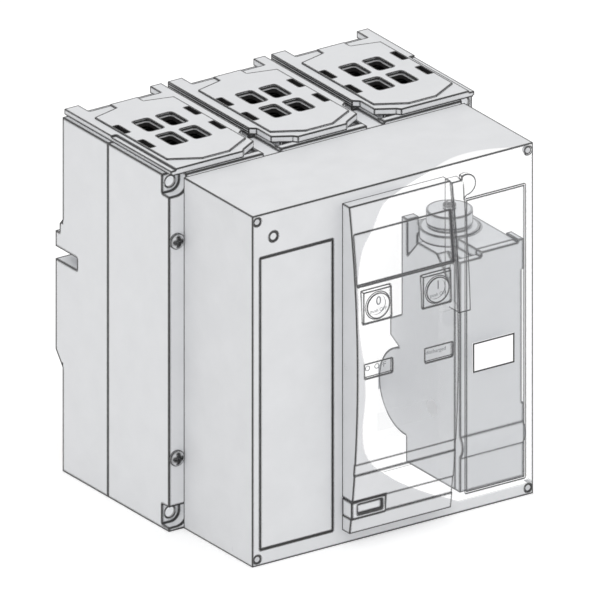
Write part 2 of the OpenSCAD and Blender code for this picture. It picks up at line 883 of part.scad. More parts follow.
// Copper terminal with the clevis and the pin that carry the moving contact
module lower_terminal(i) {
    color(copper) difference() {
        union() {
            block(mid(pole_x(i), 2 * pad_half_w), [pad_face, pad_end],
                mid(pad_z[0], pad_h));
            for (s = [-1, 1])
                along_x(beside(pole_x(i), s, [cheek_in, cheek_out])) {
                    translate([-pivot_d, pivot_z]) circle(cheek_r);
                    polygon([[-pad_face - cheek_root, pad_z[0] - cheek_slope],
                        [-pivot_d - cheek_slope, pad_z[0] + cheek_r], [-pivot_d - cheek_r, pivot_z],
                        [-pivot_d + cheek_r - over, pivot_z + cheek_slope],
                        [-pad_face - cheek_root, pad_z[0] + pad_h / 2]]);
                }
            bar_x(mid(pole_x(i), 2 * cheek_out), pivot_d, pivot_z, pivot_r);
        }
        pad_holes(i, pad_z[0]);
    }
}

// Swinging contact: a slotted lever with four parallel copper fingers
module moving_contact(i) {
    slot_a = lever_a + contact_turn / 2;
    color(copper) turn_x(contact_turn, pivot_d, pivot_z) translate([pole_x(i), -pivot_d, pivot_z]) {
        along_x([-hub_half_w, hub_half_w]) difference() {
            union() {
                circle(contact_hub_r);
                translate([-finger_t / 2, 0]) square([finger_t, finger_base + yoke_h]);
                rotate(180 - slot_a) translate([0, -tail_half_w])
                    square([slot_at + slot_run, 2 * tail_half_w]);
                rotate(180 - slot_a) translate([slot_at + slot_run, 0]) circle(tail_half_w);
            }
            circle(pivot_r + fit);
            for (k = [-1, 1]) rotate(180 - slot_a)
                translate([slot_at + k * slot_run, 0]) circle(crank_pin_r + slot_clear);
            rotate(180 - slot_a) translate([slot_at - slot_run, -crank_pin_r - slot_clear])
                square([2 * slot_run, 2 * (crank_pin_r + slot_clear)]);
        }
        along_x([-foot_half_w, foot_half_w]) translate([-finger_t / 2, finger_base])
            square([finger_t, yoke_h]);
        for (k = [0:fingers - 1]) {
            x = (k - (fingers - 1) / 2) * finger_pitch;
            along_x(mid(x, finger_w)) {
                translate([-finger_t / 2, finger_base]) square([finger_t, finger_l - finger_base]);
                translate([finger_t / 2, finger_l - tip_h - tip_down]) square([tip_t, tip_h]);
            }
        }
    }
}

// Shaft that swings the three contacts together, with a pair of crank cheeks for each pole
module pole_shaft() {
    color(steel) turn_x(-shaft_turn / 2, shaft_d, shaft_z) {
        bar_x([-case_x + shaft_end_gap + gap, case_x - shaft_end_gap - gap], shaft_d, shaft_z, shaft_r);
        for (i = [1:3]) {
            for (s = [-1, 1])
                along_x(beside(pole_x(i), s, crank_cheek))
                    translate([-shaft_d, shaft_z]) rotate(-lever_a) {
                        circle(crank_hub_r);
                        translate([0, -crank_end_r]) square([crank_r, 2 * crank_end_r]);
                        translate([crank_r, 0]) circle(crank_end_r);
                    }
            bar_x(mid(pole_x(i), 2 * crank_cheek[1]), shaft_d - crank_r * cos(lever_a),
                shaft_z - crank_r * sin(lever_a), crank_pin_r);
        }
    }
}

// Bearing bushes in the partitions and the outer walls
module shaft_bushes() {
    color(brass) difference() {
        union() {
            for (s = [-1, 1]) {
                bar_x(mid(s * pole_pitch / 2, partition), shaft_d, shaft_z, bush_r);
                bar_x(mid(s * (case_x - shaft_end_gap - bush_end / 2), bush_end),
                    shaft_d, shaft_z, bush_r);
            }
        }
        bar_x([-case_x, case_x], shaft_d, shaft_z, shaft_r + fit);
    }
}

// Steel plate on the case front that carries the mechanism and the gear motor
module mechanism_plate() {
    color(clear_white) difference() {
        block([-plate_x, plate_x], [d_flange, plate_front], plate_z);
        intersection() {
            along_x(recess_x) gear_outline(bulge_clear);
            block(recess_x, [d_joint, d_cover], [-base_h, top_h]);
        }
    }
}

// Opening for a plate set flush in the cover's front, with the ledge behind it
module panel_seat(x, z) {
    block(x, [d_cover - panel_t, d_cover + over], z);
    block(x + [ledge_w, -ledge_w], [d_inside - over, d_cover + over], z + [ledge_w, -ledge_w]);
}

module cover_screw_places(d, r) {
    for (s = [-1, 1], z = [-base_h + cover_screw_up, cover_top - cover_screw_down])
        bar_y(s * (cover_x - cover_screw_in), d, z, r);
}

// Front cover: a deep hood with openings for the plates, the fascia and the handle
module front_cover() {
    color(case_grey) difference() {
        union() {
            difference() {
                block([-cover_x, cover_x], [d_flange, d_cover], [-base_h, cover_top]);
                block([-cover_x + cover_wall, cover_x - cover_wall], [d_flange - over, d_inside],
                    [-base_h + cover_wall, cover_top - cover_wall]);
            }
            for (s = [-1, 1], z = [-base_h, cover_top - post_w])
                block(mid(s * (cover_x - post_w / 2), post_w), [d_flange, d_inside + over],
                    span(z, post_w));
            for (x = [handle_x - handle_slot_gap - ear_t, handle_x + handle_w + handle_slot_gap])
                block(span(x, ear_t), [handle_pivot_d - ear_t, d_inside + over],
                    mid(handle_pivot_z, ear_h));
        }
        panel_seat(left_panel, left_panel_z);
        panel_seat(right_panel, right_panel_z);
        block([-fascia_opening, fascia_opening], [d_inside - over, d_cover + over],
            [-fascia_low + fascia_opening_in, fascia_top - fascia_opening_in]);
        block(shift(handle_x, [-handle_slot_gap, handle_w + handle_slot_gap]),
            [d_inside - over, d_cover + over],
            shift(handle_pivot_z, handle_slot_z));
        bar_x(shift(handle_x, [-ear_t - over, handle_w + ear_t + over]), handle_pivot_d, handle_pivot_z,
            handle_pin_r + fit);
        bar_y(-cover_x + plug_in, [d_inside - over, d_cover + over], cover_top - plug_down, plug_r);
        cover_screw_places([d_cover - cover_screw_l, d_cover + over], cover_screw_r + fit);
    }
}

// Flush plate on the left of the cover
module blanking_plate() {
    color(case_grey) block(left_panel + [panel_gap, -panel_gap], [d_cover - panel_t, d_cover],
        left_panel_z + [panel_gap, -panel_gap]);
}

// Flush plate in front of the gear motor
module access_panel() {
    color(clear_white) block(right_panel + [panel_gap, -panel_gap], [d_cover - panel_t, d_cover],
        right_panel_z + [panel_gap, -panel_gap]);
}

// Bare rating plate
module rating_plate() {
    color("white") block(label_x, [d_cover, d_cover + label_t], label_z);
}

// Plug in the small hole at the cover's upper left
module hole_plug() {
    color(case_grey) bar_y(-cover_x + plug_in, [d_inside, d_cover - gap], cover_top - plug_down,
        plug_r - plug_gap);
}

// Screws in the corners of the cover
module cover_screws() {
    color(dark_steel) cover_screw_places([d_cover - cover_screw_l + over, d_cover - gap], cover_screw_r);
}

// Cross-head screws in the flange on both sides of the cover
module flange_screws() {
    color(dark_steel) for (s = [-1, 1], z = flange_screw_z) difference() {
        union() {
            bar_y(s * flange_screw_x, [d_flange - flange_boss_t + head_t + over, d_flange + over], z,
                case_screw_r);
            translate([s * flange_screw_x, -d_flange, z]) rotate([90, 0, 0])
                intersection() {
                    cylinder(h = head_t, r = flange_screw_r);
                    translate([0, 0, head_t - head_dome]) sphere(head_dome);
                }
        }
        for (a = [0, 90])
            translate([s * flange_screw_x, -d_flange - head_t, z]) rotate([0, a, 0])
                cube([cross_l, head_t, cross_w], center = true);
    }
}

// Space behind the fascia's curved front, offset inwards by t
module curved_front(x, z, t) {
    intersection() {
        block(x, [d_cover - fascia_back, fascia_front + over], z);
        bar_x(x, fascia_axis, 0, fascia_r - t, $fn = 360);
    }
}

// Raised fascia with a curved front, button openings, windows and the drawer slot
module fascia() {
    x = [-fascia_half_w, fascia_half_w];
    z = [-fascia_low, fascia_top];
    color(clear_white) difference() {
        intersection() {
            curved_front(x, z, 0);
            block(x, [d_cover, fascia_front + over], z);
        }
        curved_front(x + fascia_wall * [1, -1], z + fascia_wall * [1, -1], fascia_wall);
        for (bx = bezel_x)
            block(mid(bx, bezel_w + 2 * bezel_gap), [d_cover, fascia_front + over],
                mid(bezel_z, bezel_w + 2 * bezel_gap));
        for (wx = window_x)
            block(mid(wx, window_w), [d_cover, fascia_front + over],
                mid(window_z, window_h));
        block([drawer_left - over, drawer_left + drawer_w + gap], [d_cover - over, fascia_front],
            band_z + gap * [-1, 1]);
        bar_x([-fascia_half_w + fascia_wall / 2, fascia_half_w - fascia_wall / 2], drum_axis_d, window_z,
            axle_r);
        sunk_band(x + panel_side * [1, -1], [panel_low, panel_high], panel_sink);
        sunk_band(x + over * [-1, 1], crease_z, band_sink);
        sunk_band([drawer_left + drawer_w, fascia_half_w + over], band_z, band_sink);
    }
}

// Shallow recess that follows the fascia's curved front
module sunk_band(x, z, t) {
    difference() {
        block(x, [d_cover, fascia_front + over], z);
        curved_front(x + over * [-1, 1], z + over * [-1, 1], t);
    }
}

// Square bezels with the guide tubes of the two buttons
module button_bezels() {
    color(clear_white) for (bx = bezel_x) difference() {
        union() {
            block(mid(bx, bezel_w), [bezel_front - bezel_t, bezel_front],
                mid(bezel_z, bezel_w));
            bar_y(bx, [bezel_front - bezel_depth, bezel_front - over], bezel_z,
                button_r + button_gap + bezel_tube_wall);
        }
        bar_y(bx, [bezel_front - bezel_depth - over, bezel_front + over], bezel_z, button_r + button_gap);
    }
}

// Clear lenses in the two indicator windows
module indicator_lenses() {
    color("white") for (wx = window_x)
        block(mid(wx, window_w - 2 * lens_gap), span(fascia_front - fascia_wall, lens_t),
            mid(window_z, window_h - 2 * lens_gap));
}

// Push button with a hollow stem
module push_button(bx) {
    front = bezel_front + button_proud;
    color(button_grey) difference() {
        bar_y(bx, [front - button_l, front], bezel_z, button_r);
        bar_y(bx, [front - button_l - over, front - button_top_t], bezel_z, button_r - button_wall);
    }
}

module off_button() { push_button(bezel_x[0]); }

module on_button() { push_button(bezel_x[1]); }

// Indicator drum behind a window
module flag_drum(wx) {
    color("white") difference() {
        bar_x(mid(wx, window_w - 2 * drum_end_gap), drum_axis_d, window_z, drum_r);
        bar_x(mid(wx, 2 * window_w), drum_axis_d, window_z, axle_r + fit);
    }
}

module position_flag() { flag_drum(window_x[0]); }

module charge_flag() { flag_drum(window_x[1]); }

// Axle of both drums, held in the fascia's side walls
module flag_axle() {
    color(steel) bar_x(mid(0, 2 * (fascia_half_w - fascia_wall / 2 - fit)), drum_axis_d, window_z, axle_r);
}

// Drawer that is pulled out to take padlocks
module padlock_drawer() {
    mid_x = drawer_left + drawer_w / 2 + tongue_shift;
    mid_z = band_z[0] + drawer_h / 2;
    color(clear_white) difference() {
        union() {
            block(span(drawer_left, drawer_w), [drawer_back, drawer_front], band_z);
            block(mid(mid_x, 2 * tongue_half), [drawer_back - tongue_l, drawer_back + over],
                mid(mid_z, tongue_t));
        }
        block(shift(drawer_left, [drawer_frame[0], drawer_w - drawer_frame[1]]),
            [drawer_front - drawer_sink, drawer_front + over],
            [band_z[0] + drawer_frame[2], band_z[1] - drawer_frame[3]]);
        translate([mid_x, -drawer_back + tongue_l / 2, mid_z - tongue_t])
            cylinder(h = 2 * tongue_t, r = tongue_hole_r);
    }
}

// Charging handle: a lever along the fascia with a finger tab at its top
module charging_handle() {
    neck = sqrt(handle_hub_r * handle_hub_r - handle_under * handle_under);
    front = -fascia_front - over;
    color(case_grey) difference() {
        union() {
            bar_x(span(handle_x, handle_w), handle_pivot_d, handle_pivot_z, handle_hub_r);
            intersection() {
                curved_front(span(handle_x, handle_w), [handle_pivot_z - over, handle_top], -handle_proud);
                along_x(span(handle_x, handle_w)) translate([0, handle_pivot_z])
                    polygon([[-handle_pivot_d - neck, handle_under], [front, handle_under],
                        [front, handle_l], [-handle_back, handle_l], [-handle_back, handle_hub_r + over],
                        [-handle_pivot_d - handle_hub_r / 2, 0]]);
            }
            handle_tab();
        }
        bar_x(shift(handle_x, [-over, handle_w + over]), handle_pivot_d, handle_pivot_z, handle_pin_r + fit);
    }
}

// Leaf-shaped finger tab on the handle's right side
module handle_tab() {
    forwards([tab_d, tab_d + tab_t]) translate([handle_x + handle_w - over, handle_top]) {
        intersection() {
            translate([over + tab_w - tab_r, tab_up - tab_r]) circle(tab_r);
            translate([0, tab_up - 2 * tab_r]) square([over + tab_w, 2 * tab_r]);
        }
        polygon([[0, tab_up - tab_r], [over + tab_w, tab_up - tab_r], [over, -tab_tail], [0, -tab_tail]]);
    }
}

// Pin of the charging handle, held in the two ears of the cover
module handle_pin() {
    color(steel) bar_x(shift(handle_x, [-ear_t, handle_w + ear_t]), handle_pivot_d, handle_pivot_z,
        handle_pin_r);
}

// Side view of the gear case
module gear_case_outline() {
    polygon([[-case_front, -motor_low], [-case_front, motor_top], [-motor_back, motor_top],
        [-motor_back, back_tab_z[1] + back_tab_slope], [-back_tab_d, back_tab_z[1]],
        [-back_tab_d, back_tab_z[0]], [-motor_back, back_tab_z[0] - back_tab_slope],
        [-motor_foot_d, gear_z], [-motor_foot_d, -motor_low]]);
    translate([-gear_d, gear_z]) circle(gear_r);
}

// Two slanted notches in the left side of the deck
module deck_notches() {
    rear = motor_back + ear_d;
    front = case_front - notch_front_in;
    along_x([motor_left - over, notch_x])
        polygon([[-rear, motor_top + over], [-rear, notch_low], [-rear - notch_slope, deck_low],
            [-front + notch_slope, deck_low], [-front, notch_low], [-front - notch_floor_l, notch_low],
            [-front - notch_floor_l, deck_low], [-case_front - over, deck_low],
            [-case_front - over, motor_top + over]]);
}

// Gear case with the bore of the electric motor and the chamber of the worm gear
module motor_housing() {
    color(motor_grey) difference() {
        union() {
            along_x([motor_left, motor_right]) gear_case_outline();
            block(span(motor_left, rear_ear_w), span(motor_back, ear_d), [deck_low, motor_top + rear_ear_h]);
        }
        block([notch_x - over, deck_x], [motor_back + ear_d, case_front + over],
            [deck_low, motor_top + over]);
        deck_notches();
        translate([can_x, -can_d, 0]) {
            translate([0, 0, deck_low]) cylinder(h = deck_drop + 2 * over, r = can_flange_r + gap);
            translate([0, 0, can_low]) cylinder(h = motor_top - can_low, r = can_r + gap);
            translate([0, 0, cam_z - worm_l / 2 - gap])
                cylinder(h = can_low - cam_z + worm_l / 2 + over, r = worm_r + gap);
        }
        bar_x(mid(can_x, wheel_w + 2 * wheel_side), cam_d, cam_z, wheel_r + over);
        bar_x([motor_left - over, can_x + shaft_past], cam_d, cam_z, cam_shaft_r + fit);
    }
}

// Front plate of the gear motor with its half-round rib and corner tab
module motor_front_plate() {
    x = span(motor_left, motor_plate_w);
    d = [case_front, motor_front];
    color(motor_grey) {
        difference() {
            block(x, d, [-motor_low, motor_top]);
            block([x[1] - edge_notch, x[1] + over], d + over * [-1, 1], edge_notch_z);
            block([x[0] - over, deck_x], d + over * [-1, 1], [motor_top - plate_step, motor_top + over]);
        }
        block([x[1] - corner_tab[0], x[1]], [motor_front - corner_tab[1], motor_front],
            [motor_top + gap, motor_top + corner_tab[2]]);
        block([x[1] - corner_tab[0], x[1]], d, [motor_top - over, motor_top + corner_tab[2]]);
        intersection() {
            bar_x(x, motor_front + rib_rise - rib_r, rib_z, rib_r);
            block(x, [case_front, d_inside], [-motor_low, motor_top]);
        }
    }
}

// Electric motor standing in the gear case
module motor_can() {
    color(motor_grey) translate([can_x, -can_d, 0]) difference() {
        union() {
            translate([0, 0, can_low]) cylinder(h = motor_top - can_low, r = can_r);
            translate([0, 0, deck_low]) cylinder(h = deck_drop + can_flange_up, r = can_flange_r);
            translate([0, 0, motor_top])
                cylinder(h = can_cap_low - motor_top + over, r = can_cap_r - can_neck_in);
            translate([0, 0, can_cap_low]) cylinder(h = can_cap_h, r = can_cap_r);
        }
        translate([0, 0, can_low - over]) cylinder(h = can_cap_high - can_low + 2 * over, r = rotor_r + fit);
    }
}

// Motor shaft with its worm and top hub
module motor_rotor() {
    color(steel) translate([can_x, -can_d, 0]) {
        translate([0, 0, cam_z - worm_l / 2]) cylinder(h = rotor_top - cam_z + worm_l / 2, r = rotor_r);
        translate([0, 0, cam_z - worm_l / 2]) cylinder(h = worm_l, r = worm_r);
        translate([0, 0, can_cap_high + gap]) cylinder(h = rotor_hub_h, r = rotor_hub_r);
    }
}

// Worm wheel on the charging shaft
module worm_wheel() {
    color(brass) difference() {
        bar_x(mid(can_x, wheel_w), cam_d, cam_z, wheel_r);
        bar_x(mid(can_x, wheel_w + 2 * over), cam_d, cam_z, cam_shaft_r + fit);
        for (k = [0:wheel_teeth - 1])
            translate([can_x, -cam_d, cam_z]) rotate([k * 360 / wheel_teeth, 0, 0]) translate([0, wheel_r, 0])
                rotate([45, 0, 0]) cube([wheel_w + 2 * over, tooth_cut, tooth_cut], center = true);
    }
}

// Radius of the cam at an angle, rising evenly over half a turn
function cam_radius(a) = cam_low + cam_rise * abs(a) / 180;

// Charging shaft with the cam that loads the closing spring
module charging_shaft() {
    color(steel) {
        bar_x([frame_x[0] + gap, can_x + shaft_past - 2 * over], cam_d, cam_z, cam_shaft_r);
        along_x(mid(cam_x, cam_w)) translate([-cam_d, cam_z])
            polygon([for (a = [-180:10:170]) cam_radius(a) * [cos(90 - a), sin(90 - a)]]);
    }
}

// Two side plates and a bridge that carry the mechanism
module mechanism_frame() {
    color(steel) difference() {
        union() {
            for (x = frame_x) block(span(x, side_t), [plate_front, frame_front], frame_z);
            block([frame_x[0], frame_x[1] + side_t], mid(cam_d, 2 * bridge_half), span(bridge_z, bridge_t));
        }
        bar_x([frame_x[0] - over, frame_x[1] + side_t + over], cam_d, cam_z, cam_shaft_r + fit);
        translate([cam_x, -cam_d, bridge_z - over]) cylinder(h = bridge_t + 2 * over, r = rod_r + fit);
    }
}

// Follower with the rod that guides the closing spring
module spring_plunger() {
    color(steel) {
        bar_x(mid(cam_x, cam_w), cam_d, follower_z, follower_r);
        translate([cam_x, -cam_d, follower_z]) cylinder(h = bridge_z + bridge_t - follower_z, r = rod_r);
        translate([cam_x, -cam_d, collar_z - collar_t])
            cylinder(h = collar_t, r = spring_r + spring_wire + collar_rim);
    }
}

// Coil spring between the plunger's collar and the bridge
module closing_spring() {
    h = bridge_z - collar_z - 2 * gap;
    color(dark_steel) translate([cam_x, -cam_d, collar_z + gap])
        linear_extrude(height = h, twist = -360 * spring_turns, slices = spring_turns * spring_slices,
            $fn = 8) translate([spring_r, 0]) circle(spring_wire, $fn = 8);
}

// White shroud over the mechanism
module mechanism_shroud() {
    color(clear_white) difference() {
        block(shroud_x, [plate_front, shroud_front], shroud_z);
        block(shroud_x + shroud_wall * [1, -1], [plate_front - over, shroud_front - shroud_wall],
            shroud_z + shroud_wall * [1, -1]);
        bar_x([shroud_x[1] - shroud_wall - over, shroud_x[1] + over], cam_d, cam_z, cam_shaft_r + gap);
    }
}

rear_case();
middle_case();
case_screws();
arc_chute(1);  // arc_chute_1
arc_chute(2);  // arc_chute_2
arc_chute(3);  // arc_chute_3
exhaust_plates();
splitter_plates(1);  // splitter_plates_1
splitter_plates(2);  // splitter_plates_2
splitter_plates(3);  // splitter_plates_3
upper_terminal(1);  // upper_terminal_1
upper_terminal(2);  // upper_terminal_2
upper_terminal(3);  // upper_terminal_3
lower_terminal(1);  // lower_terminal_1
lower_terminal(2);  // lower_terminal_2
lower_terminal(3);  // lower_terminal_3
moving_contact(1);  // moving_contact_1
moving_contact(2);  // moving_contact_2
moving_contact(3);  // moving_contact_3
pole_shaft();
shaft_bushes();
mechanism_plate();
front_cover();
blanking_plate();
access_panel();
rating_plate();
hole_plug();
cover_screws();
flange_screws();
fascia();
button_bezels();
indicator_lenses();
off_button();
on_button();
position_flag();
charge_flag();
flag_axle();
padlock_drawer();
charging_handle();
handle_pin();
motor_housing();
motor_front_plate();
motor_can();
motor_rotor();
worm_wheel();
charging_shaft();
mechanism_frame();
spring_plunger();
closing_spring();
mechanism_shroud();
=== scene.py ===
"""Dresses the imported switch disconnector: finishes, lettering, small trim, light and camera.

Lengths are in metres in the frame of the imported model: +X right, +Y back, +Z up. The photo is a
drawing with dark lines on pale grey and a clear front over its gear motor, so the finishes carry their own
lines along edges and in creases.
"""
import json
import math

import bmesh
import bpy
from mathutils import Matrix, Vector


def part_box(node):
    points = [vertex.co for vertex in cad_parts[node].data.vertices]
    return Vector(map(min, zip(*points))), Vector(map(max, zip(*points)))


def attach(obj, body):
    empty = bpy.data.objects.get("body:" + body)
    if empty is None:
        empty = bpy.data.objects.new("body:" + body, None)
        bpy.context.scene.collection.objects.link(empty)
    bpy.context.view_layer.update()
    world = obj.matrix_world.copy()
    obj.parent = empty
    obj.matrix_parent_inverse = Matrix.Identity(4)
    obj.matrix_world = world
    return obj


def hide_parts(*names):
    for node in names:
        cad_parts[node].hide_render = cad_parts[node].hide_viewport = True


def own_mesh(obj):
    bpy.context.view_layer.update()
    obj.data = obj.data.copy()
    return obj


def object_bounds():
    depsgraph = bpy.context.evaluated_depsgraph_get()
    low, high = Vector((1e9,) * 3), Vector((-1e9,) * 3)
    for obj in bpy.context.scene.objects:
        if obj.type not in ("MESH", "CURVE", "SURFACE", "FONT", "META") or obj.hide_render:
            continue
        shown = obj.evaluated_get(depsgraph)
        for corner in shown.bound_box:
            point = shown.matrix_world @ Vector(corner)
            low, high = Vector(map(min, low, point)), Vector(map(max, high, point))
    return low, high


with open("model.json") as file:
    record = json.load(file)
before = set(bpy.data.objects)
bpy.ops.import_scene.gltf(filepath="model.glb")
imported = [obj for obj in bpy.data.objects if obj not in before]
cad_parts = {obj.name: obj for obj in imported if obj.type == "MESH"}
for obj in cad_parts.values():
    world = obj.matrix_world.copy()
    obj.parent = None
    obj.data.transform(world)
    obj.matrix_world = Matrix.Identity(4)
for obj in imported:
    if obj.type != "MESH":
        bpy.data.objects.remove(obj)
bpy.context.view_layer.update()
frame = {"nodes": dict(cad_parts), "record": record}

NODES = frame["nodes"]
MM = 0.001

# Camera of the drawing: a parallel projection seen from the front left and above
CAMERA_TARGET = Vector((0.03524, -0.03724, -0.02588))
CAMERA_AZIMUTH = math.radians(-34.2)
CAMERA_ELEVATION = math.radians(23.0)
CAMERA_DISTANCE = 1.5
CAMERA_WIDTH = 0.3361

# Places on the model
FRONT_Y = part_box("front_cover")[0].y
FASCIA_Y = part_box("fascia")[0].y
FASCIA_RADIUS = 615 * MM
POLE_PITCH = 70 * MM
CAP_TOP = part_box("exhaust_plates")[1].z
FLOOR_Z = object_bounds()[0].z
REAR_STEP = 7 * MM
BLOCK_LOW, BLOCK_HIGH = -41 * MM, 43 * MM
CORNER_X, CORNER_Z, CORNER_MID_Z = 99.6 * MM, 100.55 * MM, 2.15 * MM
CORNER_RADIUS = 3.2 * MM
HANDLE_RIGHT = 48.5 * MM
FASCIA_SKIN = 1.6 * MM
# Pitch and dark share of the stripes of painted shade in the gaps between caps
SHROUD_CUT_X = -3.8 * MM
SHADE_STRIPE_PITCH = 1.3 * MM
SHADE_STRIPE_SHARE = 0.68
HAIR = 0.1 * MM

# Reach of the dark line in creases and along edges. It stays under the thickness of a wall, or specks appear
LINE_CASE = 2.4 * MM
LINE_MOTOR = 2.2 * MM
LINE_SCREW = 2.2 * MM
LINE = 1.8 * MM
LINE_CAP = 1.7 * MM
LINE_LEVER = 1.6 * MM
LINE_FINE = 1.35 * MM
LINE_OUTER = 0.6 * MM
# How far a rounded normal agrees with the true one where a line begins and where it is full
LINE_BEGINS = 0.9992
LINE_FULL = 0.99
# How far a face is turned away where the outline of the gear motor begins and where it is full
RIM_BEGINS = 0.76
RIM_FULL = 0.82

# Colours that several finishes share
WHITE_HEX = "#ffffff"
LINE_DARK = "#2b2a2a"
LINE_GHOST = "#424244"
ROOM_GREY = "#9c9c9c"
MOTOR_SHINE = "#cfd0d2"

# Veil that clear plastic leaves, painted glow that keeps the room under the cover evenly white and lifts the
# shade in the corner fixing holes, and the surroundings
VEIL = 0.05
LEVER_VEIL = 0.08
INTERIOR_GLOW = 0.75
BORE_GLOW = 0.2
FLOOR_GLOW = 0.25
WORLD_ON_PART = 0.88
WORLD_SEEN = 1.0

# Moulded grain and draw lines are about 0.1 mm apart in real parts. Both are drawn coarser, so that they show
GRAIN = 0.5 * MM
DRAW_LINES = 0.25 * MM

# Left border of the clear zone on the cover's front: height and x, in millimetres, from the bottom up
ZONE_BORDER = [(-110, 64), (-99, 42), (-89, 21), (-73, -4), (-60, -17), (-50, -20.5), (-16, -19), (30, -24),
               (65, -22), (80, -14), (93, -7), (98, 2), (107, 29), (120, 70)]
ZONE_LEFT = -30
ZONE_FLOOR = -100.5
ZONE_SOFT = 1.2
ZONE_LEAN_X = 0.68
ZONE_LEAN_Z = -0.513
# Depth behind the cover's front to which a piece is clear in that zone: its front alone, or all of it
CLEAR_FRONT = 14 * MM
CLEAR_WHOLE = 90 * MM

# Border of the pale strip on the cover's top, in millimetres: a parabola over x
STRIP_MID_X = 55
STRIP_DEPTH = 172.6
STRIP_BEND = 0.01135

# Middle of the part, where the lamps point
LAMP_AIM = (0, -0.05, 0)


def linear(hex_code):
    """Turns an sRGB hex value into a linear colour."""
    parts = [int(hex_code[k:k + 2], 16) / 255 for k in (1, 3, 5)]
    return [p / 12.92 if p <= 0.04045 else ((p + 0.055) / 1.055) ** 2.4 for p in parts] + [1.0]


def plug(tree, socket, value):
    """Links a socket or sets a value on an input."""
    if isinstance(value, bpy.types.NodeSocket):
        tree.links.new(value, socket)
    else:
        socket.default_value = value


def add(tree, kind, *inputs, out=0, named=None, **settings):
    """Adds a node with its settings, fills its inputs in order or by name, and gives one of its outputs."""
    made = tree.nodes.new("ShaderNode" + kind)
    for name, value in settings.items():
        setattr(made, name, value)
    for socket, value in [*enumerate(inputs), *(named or {}).items()]:
        plug(tree, made.inputs[socket], value)
    return made.outputs[out] if made.outputs else None


def product(tree, *factors):
    """Product of several masks."""
    result = factors[0]
    for factor in factors[1:]:
        result = add(tree, "Math", result, factor, operation="MULTIPLY")
    return result


def either(tree, *masks):
    """1 where one of several masks is 1."""
    result = masks[0]
    for mask in masks[1:]:
        result = add(tree, "Math", result, mask, operation="MAXIMUM")
    return result


def opposite(tree, mask):
    """One minus a mask."""
    return add(tree, "Math", 1.0, mask, operation="SUBTRACT")


def below(tree, value, limit):
    """1 where a value is under a limit."""
    return add(tree, "Math", value, limit, operation="LESS_THAN")


def above(tree, value, limit):
    """1 where a value is over a limit."""
    return add(tree, "Math", value, limit, operation="GREATER_THAN")


def within(tree, value, low, high):
    """1 where a value lies between two numbers."""
    return product(tree, above(tree, value, low), below(tree, value, high))


def off_from(tree, value, place):
    """How far a value lies from a place."""
    return add(tree, "Math", add(tree, "Math", value, place, operation="SUBTRACT"), operation="ABSOLUTE")


def near_any(tree, value, places):
    """1 where a value lies within an outer line's reach of one of the places."""
    return either(tree, 0.0, *[within(tree, value, place - LINE_OUTER, place + LINE_OUTER) for place in places])


def blank(name):
    """A new material with its shader and output, and nothing on them yet."""
    material = bpy.data.materials.new(name)
    material.use_nodes = True
    tree = material.node_tree
    tree.nodes.clear()
    surface = add(tree, "BsdfPrincipled")
    add(tree, "OutputMaterial", surface)
    return material, tree, surface.node


def centre(node):
    """Middle of a CAD node's box."""
    low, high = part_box(node)
    return (low + high) / 2


def position(tree):
    """Where a point lies on the part, in metres."""
    return add(tree, "TexCoord", out="Object")


def axes(tree):
    """X, Y and Z of a point on the part, in metres."""
    return tuple(add(tree, "SeparateXYZ", position(tree)).node.outputs)


def backs(tree):
    """1 where a face is seen from its back."""
    return add(tree, "NewGeometry", out="Backfacing")


def blotches(tree, size, low=0.0, high=1.0, detail=3.0):
    """Noise about size metres across, spread between two values."""
    cloud = add(tree, "TexNoise", named={"Vector": position(tree), "Scale": 1 / size, "Detail": detail,
                                         "Roughness": 0.55})
    return add(tree, "MapRange", cloud, 0.3, 0.7, low, high)


def grain(tree, shader, height):
    """Fine moulded grain."""
    pimples = add(tree, "TexNoise", named={"Vector": position(tree), "Scale": 1 / GRAIN, "Detail": 2.0,
                                           "Roughness": 0.55})
    plug(tree, shader.inputs["Normal"], add(tree, "Bump", named={"Strength": 0.35, "Distance": height,
                                                                 "Height": pimples}))


def edge_line(tree, width):
    """1 along the edges and in the creases of a piece, and 0 away from them."""
    rounded = add(tree, "Bevel", width, samples=8)
    facing = add(tree, "NewGeometry", out="Normal")
    along = add(tree, "VectorMath", rounded, facing, out="Value", operation="DOT_PRODUCT")
    return add(tree, "MapRange", along, LINE_BEGINS, LINE_FULL)


def outer_edges(tree, across, deep, high):
    """1 along the edges where two of the outer planes of a piece meet, given by their places on each axis."""
    # Two planes out of the three directions make an edge, so the sum has to pass one and a half
    near = [near_any(tree, value, places) for value, places in zip(axes(tree), (across, deep, high))]
    planes = add(tree, "Math", near[0], add(tree, "Math", near[1], near[2], operation="ADD"), operation="ADD")
    return above(tree, planes, 1.5)


def case_edges(tree):
    """1 along the long outer edges of the case, apart from the rear ones beside the mounting block."""
    low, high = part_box("middle_case")
    front = outer_edges(tree, (low.x, high.x), (low.y,), (low.z, high.z))
    rear = outer_edges(tree, (low.x, high.x), (-REAR_STEP,), ())
    block = within(tree, axes(tree)[2], BLOCK_LOW, BLOCK_HIGH)
    return either(tree, front, product(tree, rear, opposite(tree, block)))


def border_curve(tree, height):
    """Left border of the clear zone at a height, both in millimetres."""
    bottom, top = ZONE_BORDER[0][0], ZONE_BORDER[-1][0]
    left, right = ZONE_LEFT, ZONE_BORDER[-1][1]
    share = add(tree, "FloatCurve", named={"Value": add(tree, "MapRange", height, bottom, top)})
    curve = share.node.mapping.curves[0]
    places = [((z - bottom) / (top - bottom), (x - left) / (right - left)) for z, x in ZONE_BORDER]
    curve.points[0].location = places[0]
    curve.points[1].location = places[-1]
    for place in places[1:-1]:
        curve.points.new(*place)
    share.node.mapping.update()
    return add(tree, "MapRange", share, 0, 1, left, right)


def scaled_sum(tree, first, second, share):
    """First plus a share of second, in millimetres."""
    return add(tree, "Math",
               add(tree, "Math", first, add(tree, "Math", second, share, operation="MULTIPLY"),
                   operation="ADD"), 1 / MM, operation="MULTIPLY")


